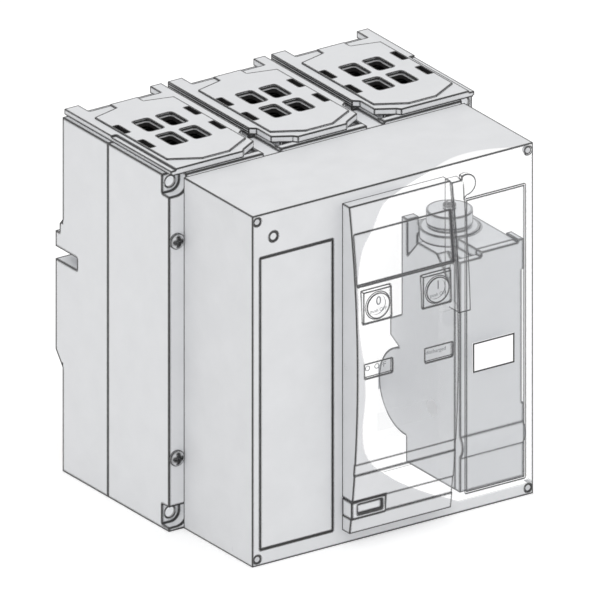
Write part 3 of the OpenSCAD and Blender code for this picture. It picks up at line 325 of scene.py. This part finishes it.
def soft_step(tree, value, limit):
    """0 up to a limit and 1 past it, with a narrow blend, both in millimetres."""
    return add(tree, "Math", add(tree, "Math", value, limit, operation="SUBTRACT"), ZONE_SOFT,
               operation="DIVIDE", use_clamp=True)


def clear_zone(tree):
    """1 where the front is clear, 0 where it is grey, with a softly curved border between them.

    The border leans: what stands further out has it further to the left and higher up.
    """
    x_raw, y_raw, z_raw = axes(tree)
    ahead = add(tree, "Math", add(tree, "Math", FRONT_Y, y_raw, operation="SUBTRACT"), 0.0,
                operation="MAXIMUM")
    x = scaled_sum(tree, x_raw, ahead, ZONE_LEAN_X)
    z = scaled_sum(tree, z_raw, ahead, ZONE_LEAN_Z)
    return product(tree, soft_step(tree, x, border_curve(tree, z)), soft_step(tree, z, ZONE_FLOOR))


def top_glow_zone(tree):
    """1 on the narrow strip of the cover's top, behind its front edge, where the grey also fades."""
    x, y, z = axes(tree)
    away = add(tree, "Math", add(tree, "Math", x, STRIP_MID_X * MM, operation="SUBTRACT"), 1 / MM,
               operation="MULTIPLY")
    bend = add(tree, "Math", add(tree, "Math", away, away, operation="MULTIPLY"), STRIP_BEND,
               operation="MULTIPLY")
    border = add(tree, "Math", bend, STRIP_DEPTH, operation="ADD")
    depth = add(tree, "Math", y, -1 / MM, operation="MULTIPLY")
    return product(tree, soft_step(tree, depth, border), above(tree, z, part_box("front_cover")[1].z - HAIR / 2))


def fascia_skin(tree):
    """1 on the outer skin of the fascia and on what stands in it, 0 on what lies behind the skin."""
    x, y, z = axes(tree)
    bulge = add(tree, "Math", add(tree, "Math", z, z, operation="MULTIPLY"), 2 * FASCIA_RADIUS,
                operation="DIVIDE")
    behind = add(tree, "Math", add(tree, "Math", y, bulge, operation="SUBTRACT"), FASCIA_Y,
                 operation="SUBTRACT")
    low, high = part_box("fascia")
    side = above(tree, add(tree, "Math", x, operation="ABSOLUTE"), high.x - HAIR / 2)
    end = opposite(tree, within(tree, z, low.z + HAIR / 2, high.z - HAIR / 2))
    return either(tree, below(tree, behind, FASCIA_SKIN), side, end)


def beside_fascia(tree):
    """1 on the cover's front to the right of the fascia and of the handle, above them and below them."""
    x, _, z = axes(tree)
    low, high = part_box("fascia")
    end = opposite(tree, within(tree, z, low.z - 0.5 * MM, high.z + 0.5 * MM))
    return either(tree, above(tree, x, HANDLE_RIGHT), end)


def on_plane(tree):
    """1 on the cover's front plane."""
    return below(tree, axes(tree)[1], FRONT_Y + HAIR)


def on_lever(tree):
    """1 on what stands in front of the cover, apart from the round hub."""
    _, y, z = axes(tree)
    hub = product(tree, below(tree, z, 27 * MM), above(tree, y, FRONT_Y - 5 * MM))
    return product(tree, below(tree, y, FRONT_Y - 0.3 * MM), opposite(tree, hub))


def clear_depth(tree):
    """1 as deep as the cover is clear: its front wall, the handle's boss and the front of its right rim."""
    x, y, z = axes(tree)
    front = below(tree, y, FRONT_Y + 2.6 * MM)
    boss = product(tree, within(tree, x, 20 * MM, 48.6 * MM), within(tree, z, -60 * MM, 60 * MM),
                   below(tree, y, FRONT_Y + CLEAR_FRONT))
    rim = product(tree, above(tree, x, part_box("front_cover")[1].x - HAIR), backs(tree),
                  below(tree, y, FRONT_Y + 6 * MM))
    return either(tree, front, boss, rim)


def under_hood(tree, rear):
    """1 on the faces inside the cover, up to rear behind its rim."""
    x, y, z = axes(tree)
    low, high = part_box("front_cover")
    wall = 1.9 * MM
    return product(tree, within(tree, x, low.x + wall, high.x - wall),
                   within(tree, y, low.y + 2.4 * MM, high.y + rear),
                   within(tree, z, low.z + wall, high.z - wall))


def motor_recess(tree):
    """1 on the faces of the recess that the gear motor reaches into."""
    x, y, z = axes(tree)
    low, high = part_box("motor_housing")
    return product(tree, within(tree, x, low.x - 12 * MM, high.x + 2.9 * MM),
                   within(tree, y, low.y, high.y + 0.5 * MM), within(tree, z, low.z - 4 * MM, high.z + 8 * MM))


def corner_bores(tree):
    """1 on the walls of the corner fixing holes."""
    x, _, z = axes(tree)
    across = add(tree, "Math", add(tree, "Math", x, operation="ABSOLUTE"), CORNER_X, operation="SUBTRACT")
    up = add(tree, "Math", off_from(tree, z, CORNER_MID_Z), CORNER_Z, operation="SUBTRACT")
    squares = [add(tree, "Math", side, side, operation="MULTIPLY") for side in (across, up)]
    return below(tree, add(tree, "Math", add(tree, "Math", *squares, operation="ADD"), operation="SQRT"),
                 CORNER_RADIUS)


def painted_hole_shade(tree):
    """Painted shade: 1 below the lip of the exhaust holes, in the side slits and on the dark lines between two
    caps, where these holes and gaps lie in shade.
    """
    x, y, z = axes(tree)
    pole = add(tree, "Math",
               add(tree, "Math", add(tree, "Math", x, POLE_PITCH, operation="DIVIDE"), operation="ROUND"),
               POLE_PITCH, operation="MULTIPLY")
    off = off_from(tree, x, pole)
    along = within(tree, y, -85 * MM, -43.3 * MM)
    holes = product(tree, below(tree, off, 14 * MM), below(tree, z, CAP_TOP - 2.6 * MM))
    slits = product(tree, within(tree, off, 22 * MM, 26 * MM), below(tree, z, CAP_TOP - HAIR))
    inner = product(tree, below(tree, off, 22.4 * MM), below(tree, z, CAP_TOP - 6 * MM))
    shade_stripes = below(tree, add(tree, "Math", add(tree, "Math", z, SHADE_STRIPE_PITCH, operation="DIVIDE"),
                           operation="FRACT"), SHADE_STRIPE_SHARE)
    gap = product(tree, above(tree, off, 32.3 * MM), shade_stripes,
                  below(tree, add(tree, "Math", x, operation="ABSOLUTE"), 80 * MM),
                  below(tree, z, CAP_TOP - 1.3 * MM))
    return either(tree, product(tree, along, either(tree, holes, slits)), inner, gap)


def left_of_strip(tree):
    """1 on the shroud, and 0 on its narrow right strip, which would hide the gear case."""
    return below(tree, axes(tree)[0], SHROUD_CUT_X)


def in_gear_case(tree):
    """1 on the part of the charging shaft that lies in the gear case, and next to nothing outside it."""
    inner = above(tree, axes(tree)[0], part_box("motor_housing")[0].x - HAIR)
    return add(tree, "MapRange", inner, 0, 1, 0.05, 1)


def round_shaft(tree):
    """1 round the place where the charging shaft enters the gear case."""
    x, y, z = axes(tree)
    mid = centre("charging_shaft")
    half = 14 * MM
    near = product(tree, below(tree, off_from(tree, y, mid.y), half),
                   below(tree, off_from(tree, z, mid.z), half))
    return product(tree, near, below(tree, x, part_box("motor_housing")[0].x + HAIR))


def moulded(name, hex_light, hex_dark, roughness, line=LINE_DARK, width=LINE, glow=0.0, glow_hex=WHITE_HEX,
            mottle=18 * MM, shade_in_holes=None, hooded=False, plain=None, rim=False, shown=None, edges=None, ior=1.54):
    """Moulded plastic: pale, satin, with a faint flow mottle, a fine grain and dark creases.

    The masks among the arguments give, in this order, painted shade in holes and gaps, no lines, presence, and a
    line of its own; glow and hooded give a painted glow.
    """
    material, tree, shader = blank(name)
    colour = add(tree, "Mix", out=2, data_type="RGBA",
                 named={0: blotches(tree, mottle, detail=4.0), 6: linear(hex_light), 7: linear(hex_dark)})
    # Painted shade in the exhaust holes, the side slits and the gaps between caps
    if shade_in_holes:
        colour = add(tree, "Mix", out=2, data_type="RGBA",
                     named={0: shade_in_holes(tree), 6: colour, 7: linear("#2c2a2a")})
    shine = linear(glow_hex)
    if line:
        ink = edge_line(tree, width)
        if edges:
            ink = either(tree, ink, edges(tree))
        if rim:
            facing = add(tree, "LayerWeight", 0.5, out="Facing")
            ink = either(tree, ink, add(tree, "MapRange", facing, RIM_BEGINS, RIM_FULL))
        if plain:
            ink = product(tree, ink, opposite(tree, plain(tree)))
        if hooded:
            # Painted glow: the room under the cover and the motor recess are painted grey and glow evenly white,
            # and the corner fixing holes glow a little against their shade
            hood = either(tree, under_hood(tree, 6 * MM), motor_recess(tree))
            ink = product(tree, ink, opposite(tree, hood))
            colour = add(tree, "Mix", out=2, data_type="RGBA",
                         named={0: hood, 6: colour, 7: linear(ROOM_GREY)})
            plug(tree, shader.inputs["Emission Color"], linear(WHITE_HEX))
            lit = either(tree, add(tree, "Math", hood, INTERIOR_GLOW, operation="MULTIPLY"),
                         add(tree, "Math", corner_bores(tree), BORE_GLOW, operation="MULTIPLY"))
            plug(tree, shader.inputs["Emission Strength"], lit)
        colour = add(tree, "Mix", out=2, data_type="RGBA", named={0: ink, 6: colour, 7: linear(line)})
        shine = add(tree, "Mix", out=2, data_type="RGBA", named={0: ink, 6: shine, 7: linear(line)})
    plug(tree, shader.inputs["Base Color"], colour)
    plug(tree, shader.inputs["Roughness"], blotches(tree, 4 * MM, roughness - 0.06, roughness + 0.06))
    # Painted glow over the whole piece, where glow is set
    if glow:
        plug(tree, shader.inputs["Emission Color"], shine)
        shader.inputs["Emission Strength"].default_value = glow
    if shown:
        plug(tree, shader.inputs["Alpha"], shown(tree))
    shader.inputs["IOR"].default_value = ior
    grain(tree, shader, 0.05 * MM)
    return material


def clear_fronted(name, skin, veil=VEIL, width=LINE, hollow=False, depth=CLEAR_FRONT):
    """Two-shot moulding: grey blend that runs into clear polycarbonate in front of the gear motor.

    skin is the mask of the faces that still carry lines and veil where the piece is clear. The cover is hollow.
    """
    material, tree, shader = blank(name)
    low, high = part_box("front_cover")
    _, y, z = axes(tree)
    deep = clear_depth(tree) if hollow else below(tree, y, FRONT_Y + depth)
    zone = product(tree, clear_zone(tree), deep, below(tree, z, high.z - HAIR))
    grey = add(tree, "Mix", out=2, data_type="RGBA",
               named={0: blotches(tree, 18 * MM, detail=4.0), 6: linear("#dfe0e2"), 7: linear("#dadbdd")})
    ink = edge_line(tree, width)
    pale = zone
    if hollow:
        ink = either(tree, ink, outer_edges(tree, (low.x, high.x), (low.y,), (low.z, high.z)))
        inside = under_hood(tree, -0.5 * MM)
        hidden = product(tree, zone, opposite(tree, beside_fascia(tree)))
        ink = product(tree, ink, opposite(tree, either(tree, inside, hidden)))
        # Painted glow: the faces inside the cover are painted grey and glow evenly white
        plug(tree, shader.inputs["Emission Color"], linear(WHITE_HEX))
        plug(tree, shader.inputs["Emission Strength"],
             add(tree, "Math", inside, INTERIOR_GLOW, operation="MULTIPLY"))
        grey = add(tree, "Mix", out=2, data_type="RGBA", named={0: inside, 6: grey, 7: linear(ROOM_GREY)})
        pale = either(tree, zone, top_glow_zone(tree))
    ink_colour = add(tree, "Mix", out=2, data_type="RGBA",
                     named={0: zone, 6: linear(LINE_DARK), 7: linear(LINE_GHOST)})
    colour = add(tree, "Mix", out=2, data_type="RGBA",
                 named={0: ink, 6: add(tree, "Mix", out=2, data_type="RGBA",
                                       named={0: pale, 6: grey, 7: linear(WHITE_HEX)}), 7: ink_colour})
    plug(tree, shader.inputs["Base Color"], colour)
    ghost = product(tree, opposite(tree, backs(tree)), skin(tree), either(tree, ink, veil))
    alpha = add(tree, "Mix", data_type="FLOAT", named={0: zone, 2: 1.0, 3: ghost})
    plug(tree, shader.inputs["Alpha"], alpha)
    plug(tree, shader.inputs["Roughness"], add(tree, "MapRange", zone, 0, 1, 0.45, 0.25))
    shader.inputs["IOR"].default_value = 1.585
    grain(tree, shader, 0.04 * MM)
    return material


def drum_ink():
    """Print on the drums, seen only where a drum faces the window."""
    material, tree, shader = blank("drum_print")
    cloud = add(tree, "TexNoise", named={"Vector": position(tree), "Scale": 1 / (2 * MM), "Detail": 3.0,
                                         "Roughness": 0.55})
    colour = add(tree, "Mix", out=2, data_type="RGBA",
                 named={0: cloud, 6: linear("#707276"), 7: linear("#686a6e")})
    plug(tree, shader.inputs["Base Color"], colour)
    low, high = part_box("position_flag")
    y = add(tree, "SeparateXYZ", add(tree, "NewGeometry", out="Position"), out="Y")
    front_quarter = low.y + 0.25 * (high.y - low.y)
    plug(tree, shader.inputs["Alpha"], below(tree, y, front_quarter))
    plug(tree, shader.inputs["Roughness"], blotches(tree, 4 * MM, 0.5, 0.6))
    return material


def metal(name, hex_light, hex_dark, roughness):
    """Machined or plated metal with fine drawn lines."""
    material, tree, shader = blank(name)
    stretched = add(tree, "Mapping", named={"Vector": position(tree), "Scale": (0.08, 1.0, 1.0)})
    lines = add(tree, "TexNoise", named={"Vector": stretched, "Scale": 1 / DRAW_LINES, "Detail": 2.0})
    colour = add(tree, "Mix", out=2, data_type="RGBA",
                 named={0: add(tree, "MapRange", lines, 0.3, 0.7), 6: linear(hex_light), 7: linear(hex_dark)})
    plug(tree, shader.inputs["Base Color"], colour)
    plug(tree, shader.inputs["Roughness"],
         add(tree, "MapRange", lines, 0.3, 0.7, roughness - 0.08, roughness + 0.08))
    shader.inputs["Metallic"].default_value = 1.0
    plug(tree, shader.inputs["Normal"], add(tree, "Bump", named={"Strength": 0.25, "Distance": 0.02 * MM,
                                                                 "Height": lines}))
    return material


# Compression-moulded thermoset of the case: pale grey and satin, with wide flow clouds and dark creases; inside
# the cover and in the motor recess it is painted grey with an even painted glow, and the corner fixing holes
# carry a faint painted glow against their shade
CASE = moulded("thermoset_case_grey", "#e3e4e6", "#dfe0e2", 0.46, hooded=True, width=LINE_CASE,
               edges=case_edges)
# The same thermoset in the arc chute caps: a shade duller, with painted shade below the lip of the exhaust
# holes, in the side slits and as dark lines in the gaps between caps
CAP = moulded("thermoset_cap_grey", "#dedfe1", "#dadbdd", 0.5, shade_in_holes=painted_hole_shade, width=LINE_CAP)
# Two-shot polycarbonate of the deep cover and its left flush plate: grey, and glassy clear over the gear motor;
# its inner faces are painted grey with an even painted glow
COVER = clear_fronted("polycarbonate_cover", on_plane, hollow=True)
# Clear polycarbonate of the right flush plate: only its rim shows, as a thin line before the gear motor
PANEL = clear_fronted("polycarbonate_panel", on_plane)
# Two-shot polycarbonate of the curved fascia: its outer skin alone shows where it is clear
FASCIA = clear_fronted("polycarbonate_fascia", fascia_skin)
# Clear lever, with more veil so that its thick bar reads as one piece
LEVER = clear_fronted("polycarbonate_lever", on_lever, veil=LEVER_VEIL, width=LINE_LEVER, depth=CLEAR_WHOLE)
# Clear push buttons and bezels, with fine rings round their edges
BUTTON = clear_fronted("polycarbonate_button", fascia_skin, width=LINE_FINE, depth=CLEAR_WHOLE)
# Clear drums, their axle and lenses, and the handle's pin: they all but vanish in the clear zone
FLAG = clear_fronted("polycarbonate_drum", fascia_skin, width=LINE_FINE, depth=CLEAR_WHOLE)
# Glass-filled nylon of the gear motor: a mid grey with a painted glow that keeps it even behind the clear front,
# with grey outlines
MOTOR = moulded("nylon_gear_case_grey", "#8f9194", "#8b8d90", 0.42, ior=1.53, line="#434446", glow=0.5,
                glow_hex=MOTOR_SHINE, mottle=9 * MM, plain=round_shaft, rim=True, width=LINE_MOTOR)
# Nylon sleeve of the charging shaft: a painted glow lights it like the gear case, so that its bore leaves no
# dark spot there
SHAFT = moulded("nylon_shaft_sleeve", "#3b3c3e", "#37383a", 0.42, line=None, glow=0.78, glow_hex=MOTOR_SHINE,
                shown=in_gear_case)
# White polyamide, as the coat of the steel mechanism plate: matt, painted grey with an even painted glow that
# makes it white, the ground behind the clear front
WHITE = moulded("polyamide_painted_glow", ROOM_GREY, "#989898", 0.5, line=None, glow=INTERIOR_GLOW)
# The same polyamide in the shroud, with the same painted glow, without its right strip
SHROUD = moulded("polyamide_painted_glow_cut", ROOM_GREY, "#989898", 0.5, line=None, glow=INTERIOR_GLOW,
                 shown=left_of_strip)
# White polyester film of the bare plate: smooth, and whiter than the mouldings, partly by a faint painted glow
LABEL = moulded("polyester_label_white", "#fefefe", "#fafafa", 0.35, line=None, glow=0.12)
# Screen-printed black ink of the plate's border: matt
INK = moulded("ink_dark_grey", "#2f2e2e", "#2a2929", 0.6, line=None)
# Thinned grey ink of the words and marks on the buttons: softer than the black of the border
INK_LIGHT = moulded("ink_mid_grey", "#707276", "#686a6e", 0.6, line=None)
# Grey lacquer on the flange screws: near-black lines round the head and in its cross
ZINC = moulded("screw_lacquer_grey", "#d0d1d3", "#c4c5c8", 0.4, line="#1c1b1b", width=LINE_SCREW)
# The same lacquer on the small screws of the cover, with a thin ring
ZINC_SMALL = moulded("screw_lacquer_fine", "#d0d1d3", "#c4c5c8", 0.4, line=LINE_DARK, width=LINE_FINE)
# The same thin grey ink on the drums, hidden where a drum has turned it away
DRUM_INK = drum_ink()
# Drawn copper of the terminals and contacts: warm, with fine draw lines
COPPER = metal("drawn_copper", "#c98a5e", "#b87a50", 0.34)
# Zinc-plated steel of the pole shaft, frame and plunger: cool grey with soft streaks
STEEL = metal("zinc_plated_steel", "#a9adb2", "#9599a0", 0.36)
# Blackened steel of the spring, case screws and splitter plates: nearly black and dull
DARK = metal("blackened_steel", "#2e2d2d", "#262525", 0.5)
# Turned brass of the bushes and worm wheel: yellow, with the tightest shine of the metals
BRASS = metal("turned_brass", "#c4ad68", "#b39c58", 0.32)

FINISH = {
    "case": CASE, "cap": CAP, "cover": COVER, "clear": FASCIA, "white": WHITE, "motor": MOTOR,
    "copper": COPPER, "steel": STEEL, "dark_steel": DARK, "brass": BRASS, "button": BUTTON,
}
SPECIAL = {
    "rating_plate": LABEL, "access_panel": PANEL, "charging_handle": LEVER, "padlock_drawer": CASE,
    "position_flag": FLAG, "charge_flag": FLAG, "flag_axle": FLAG, "indicator_lenses": FLAG,
    "splitter_plates_1": DARK, "splitter_plates_2": DARK, "splitter_plates_3": DARK,
    "cover_screws": ZINC_SMALL, "flange_screws": ZINC, "motor_rotor": MOTOR, "handle_pin": FLAG,
    "charging_shaft": SHAFT, "button_bezels": BUTTON, "mechanism_shroud": SHROUD,
}


def dress_nodes():
    """Gives every CAD node the finish of its material slot, or one of its own."""
    for row in frame["record"]["subparts"]:
        mesh = NODES[row["node"]].data
        mesh.materials.clear()
        mesh.materials.append(SPECIAL.get(row["node"], FINISH[row["material_slot"]]))


def link(name, data):
    """A new object in the scene."""
    made = bpy.data.objects.new(name, data)
    bpy.context.scene.collection.objects.link(made)
    return made


def finish_piece(piece, material, body):
    """Material, slot and body of a piece of the scene's own."""
    piece.data.materials.clear()
    piece.data.materials.append(material)
    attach(piece, body)


def lettering(name, words, size, place, material, body, turn=0.0, thick=0.12 * MM):
    """Raised lettering that faces the front, centred on a place."""
    curve = bpy.data.curves.new(name, "FONT")
    curve.body = words
    curve.size = size
    curve.align_x = "CENTER"
    curve.align_y = "CENTER"
    curve.extrude = thick / 2
    curve.resolution_u = 4
    piece = link(name, curve)
    piece.rotation_euler = (math.radians(90) + turn, 0, 0)
    piece.location = place
    bpy.context.view_layer.update()
    mesh = bpy.data.meshes.new_from_object(piece)
    mesh.transform(piece.matrix_world)
    bpy.data.objects.remove(piece)
    finish_piece(link(name, mesh), material, body)


def button_marks():
    """Marks and words on the two push buttons, printed thin so that they stand just clear of the face."""
    for node, mark, words in (("off_button", "0", "push OFF"), ("on_button", "I", "push ON")):
        mid = centre(node)
        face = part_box(node)[0].y - 0.02 * MM
        for ending, text, size, up in (("_mark", mark, 7.4 * MM, 2.8 * MM),
                                       ("_words", words, 2.9 * MM, -2.6 * MM)):
            lettering(node + ending, text, size, (mid.x, face, mid.z + up), INK_LIGHT, node, thick=0.06 * MM)


def build_mesh(name, make):
    """An object whose mesh is filled by make(bmesh)."""
    mesh = bpy.data.meshes.new(name)
    shape = bmesh.new()
    make(shape)
    shape.to_mesh(mesh)
    shape.free()
    return link(name, mesh)


def label_border():
    """Black edge printed round the bare white plate: a flat rim that stands a little in front of it."""
    low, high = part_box("rating_plate")
    width = 0.9 * MM
    depth = 0.1 * MM

    def make(shape):
        ring = [[], []]
        for k, y in enumerate((low.y, low.y - depth)):
            for inset in (0, width):
                ring[k].append([shape.verts.new((x, y, z)) for x, z in (
                    (low.x + inset, low.z + inset), (high.x - inset, low.z + inset),
                    (high.x - inset, high.z - inset), (low.x + inset, high.z - inset))])
        (back_out, back_in), (front_out, front_in) = ring
        for n in range(4):
            m = (n + 1) % 4
            shape.faces.new((front_out[n], front_out[m], front_in[m], front_in[n]))
            shape.faces.new((back_out[m], back_out[n], back_in[n], back_in[m]))
            shape.faces.new((back_out[n], back_out[m], front_out[m], front_out[n]))
            shape.faces.new((back_in[m], back_in[n], front_in[n], front_in[m]))
    finish_piece(build_mesh("rating_plate_border", make), INK, "root")


def flag_words():
    """Words on the indicator drums, with the other state a turn away."""
    for node, rest, other, size in (("position_flag", "O  OFF", "I  ON", 4.6 * MM),
                                    ("charge_flag", "discharged", "charged", 3.2 * MM)):
        low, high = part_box(node)
        mid = centre(node)
        radius = (high.z - low.z) / 2 + 0.03 * MM
        for label, words, turn in (("rest", rest, 0.0), ("turned", other, math.radians(-80))):
            place = (mid.x, mid.y - radius * math.cos(turn), mid.z - radius * math.sin(turn))
            lettering("%s_words_%s" % (node, label), words, size, place, DRUM_INK, node, turn=turn)


def spring_coil():
    """The closing spring, as a copy with a mesh of its own in place of the CAD piece. The real spring shortens
    as the plunger rises; this copy keeps the CAD shape.
    """
    node = NODES["closing_spring"]
    coil = link("closing_spring_coil", node.data.copy())
    coil.matrix_world = node.matrix_world
    finish_piece(coil, DARK, "root")
    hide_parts("closing_spring")
    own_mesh(coil)


def make_camera():
    """Parallel camera of the drawing."""
    data = bpy.data.cameras.new("drawing_view")
    data.type = "ORTHO"
    data.ortho_scale = CAMERA_WIDTH
    camera = link("drawing_view", data)
    a, e = CAMERA_AZIMUTH, CAMERA_ELEVATION
    back = Vector((math.sin(a) * math.cos(e), -math.cos(a) * math.cos(e), math.sin(e)))
    camera.location = CAMERA_TARGET + CAMERA_DISTANCE * back
    camera.rotation_mode = "QUATERNION"
    camera.rotation_quaternion = (-back).to_track_quat("-Z", "Y")
    bpy.context.scene.camera = camera


def unlit_ray(tree):
    """1 for rays from the camera, from mirrors and through clear pieces."""
    rays = add(tree, "LightPath").node.outputs
    return either(tree, *[rays[kind] for kind in ("Is Camera Ray", "Is Glossy Ray", "Is Transmission Ray")])


def make_floor():
    """Pale matt floor that the part stands on: white to the camera, shadowed, and clear from below."""
    def make(shape):
        half = 6.0
        corners = [shape.verts.new((x, y, FLOOR_Z - HAIR)) for x, y in
                   ((-half, -half), (half, -half), (half, half), (-half, half))]
        shape.faces.new(corners)
    floor = build_mesh("studio_floor", make)
    material, tree, shader = blank("pale_floor")
    shader.inputs["Base Color"].default_value = linear("#f4f4f4")
    shader.inputs["Roughness"].default_value = 0.9
    upper_side = opposite(tree, backs(tree))
    plug(tree, shader.inputs["Alpha"], upper_side)
    strength = product(tree, unlit_ray(tree), upper_side, FLOOR_GLOW)
    both = add(tree, "AddShader", shader.outputs[0], add(tree, "Emission", linear(WHITE_HEX), strength))
    output = [n for n in tree.nodes if n.type == "OUTPUT_MATERIAL"][0]
    plug(tree, output.inputs["Surface"], both)
    floor.data.materials.append(material)


def soft_lamp(name, place, size, power):
    """Square soft box that points at the part."""
    data = bpy.data.lights.new(name, "AREA")
    data.shape = "SQUARE"
    data.size = size
    data.energy = power
    lamp = link(name, data)
    lamp.location = place
    lamp.rotation_mode = "QUATERNION"
    lamp.rotation_quaternion = (Vector(LAMP_AIM) - Vector(place)).to_track_quat("-Z", "Y")


def make_light():
    """Even white surroundings with three large soft boxes."""
    world = bpy.data.worlds.new("studio")
    bpy.context.scene.world = world
    world.use_nodes = True
    tree = world.node_tree
    tree.nodes.clear()
    strength = add(tree, "MapRange", unlit_ray(tree), 0, 1, WORLD_ON_PART, WORLD_SEEN)
    add(tree, "OutputWorld", add(tree, "Background", linear(WHITE_HEX), strength))
    soft_lamp("key_box", (-0.9, -1.1, 1.2), 0.9, 3)
    soft_lamp("fill_box", (1.0, -1.2, 0.5), 1.0, 2)
    soft_lamp("top_box", (0.1, 0.2, 1.5), 0.9, 1)


make_camera()
dress_nodes()
button_marks()
label_border()
flag_words()
spring_coil()
make_floor()
make_light()
bpy.context.scene.view_settings.view_transform = "Standard"
# A ray through the clear front meets many thin walls before it reaches the gear motor
bpy.context.scene.cycles.transparent_max_bounces = 40
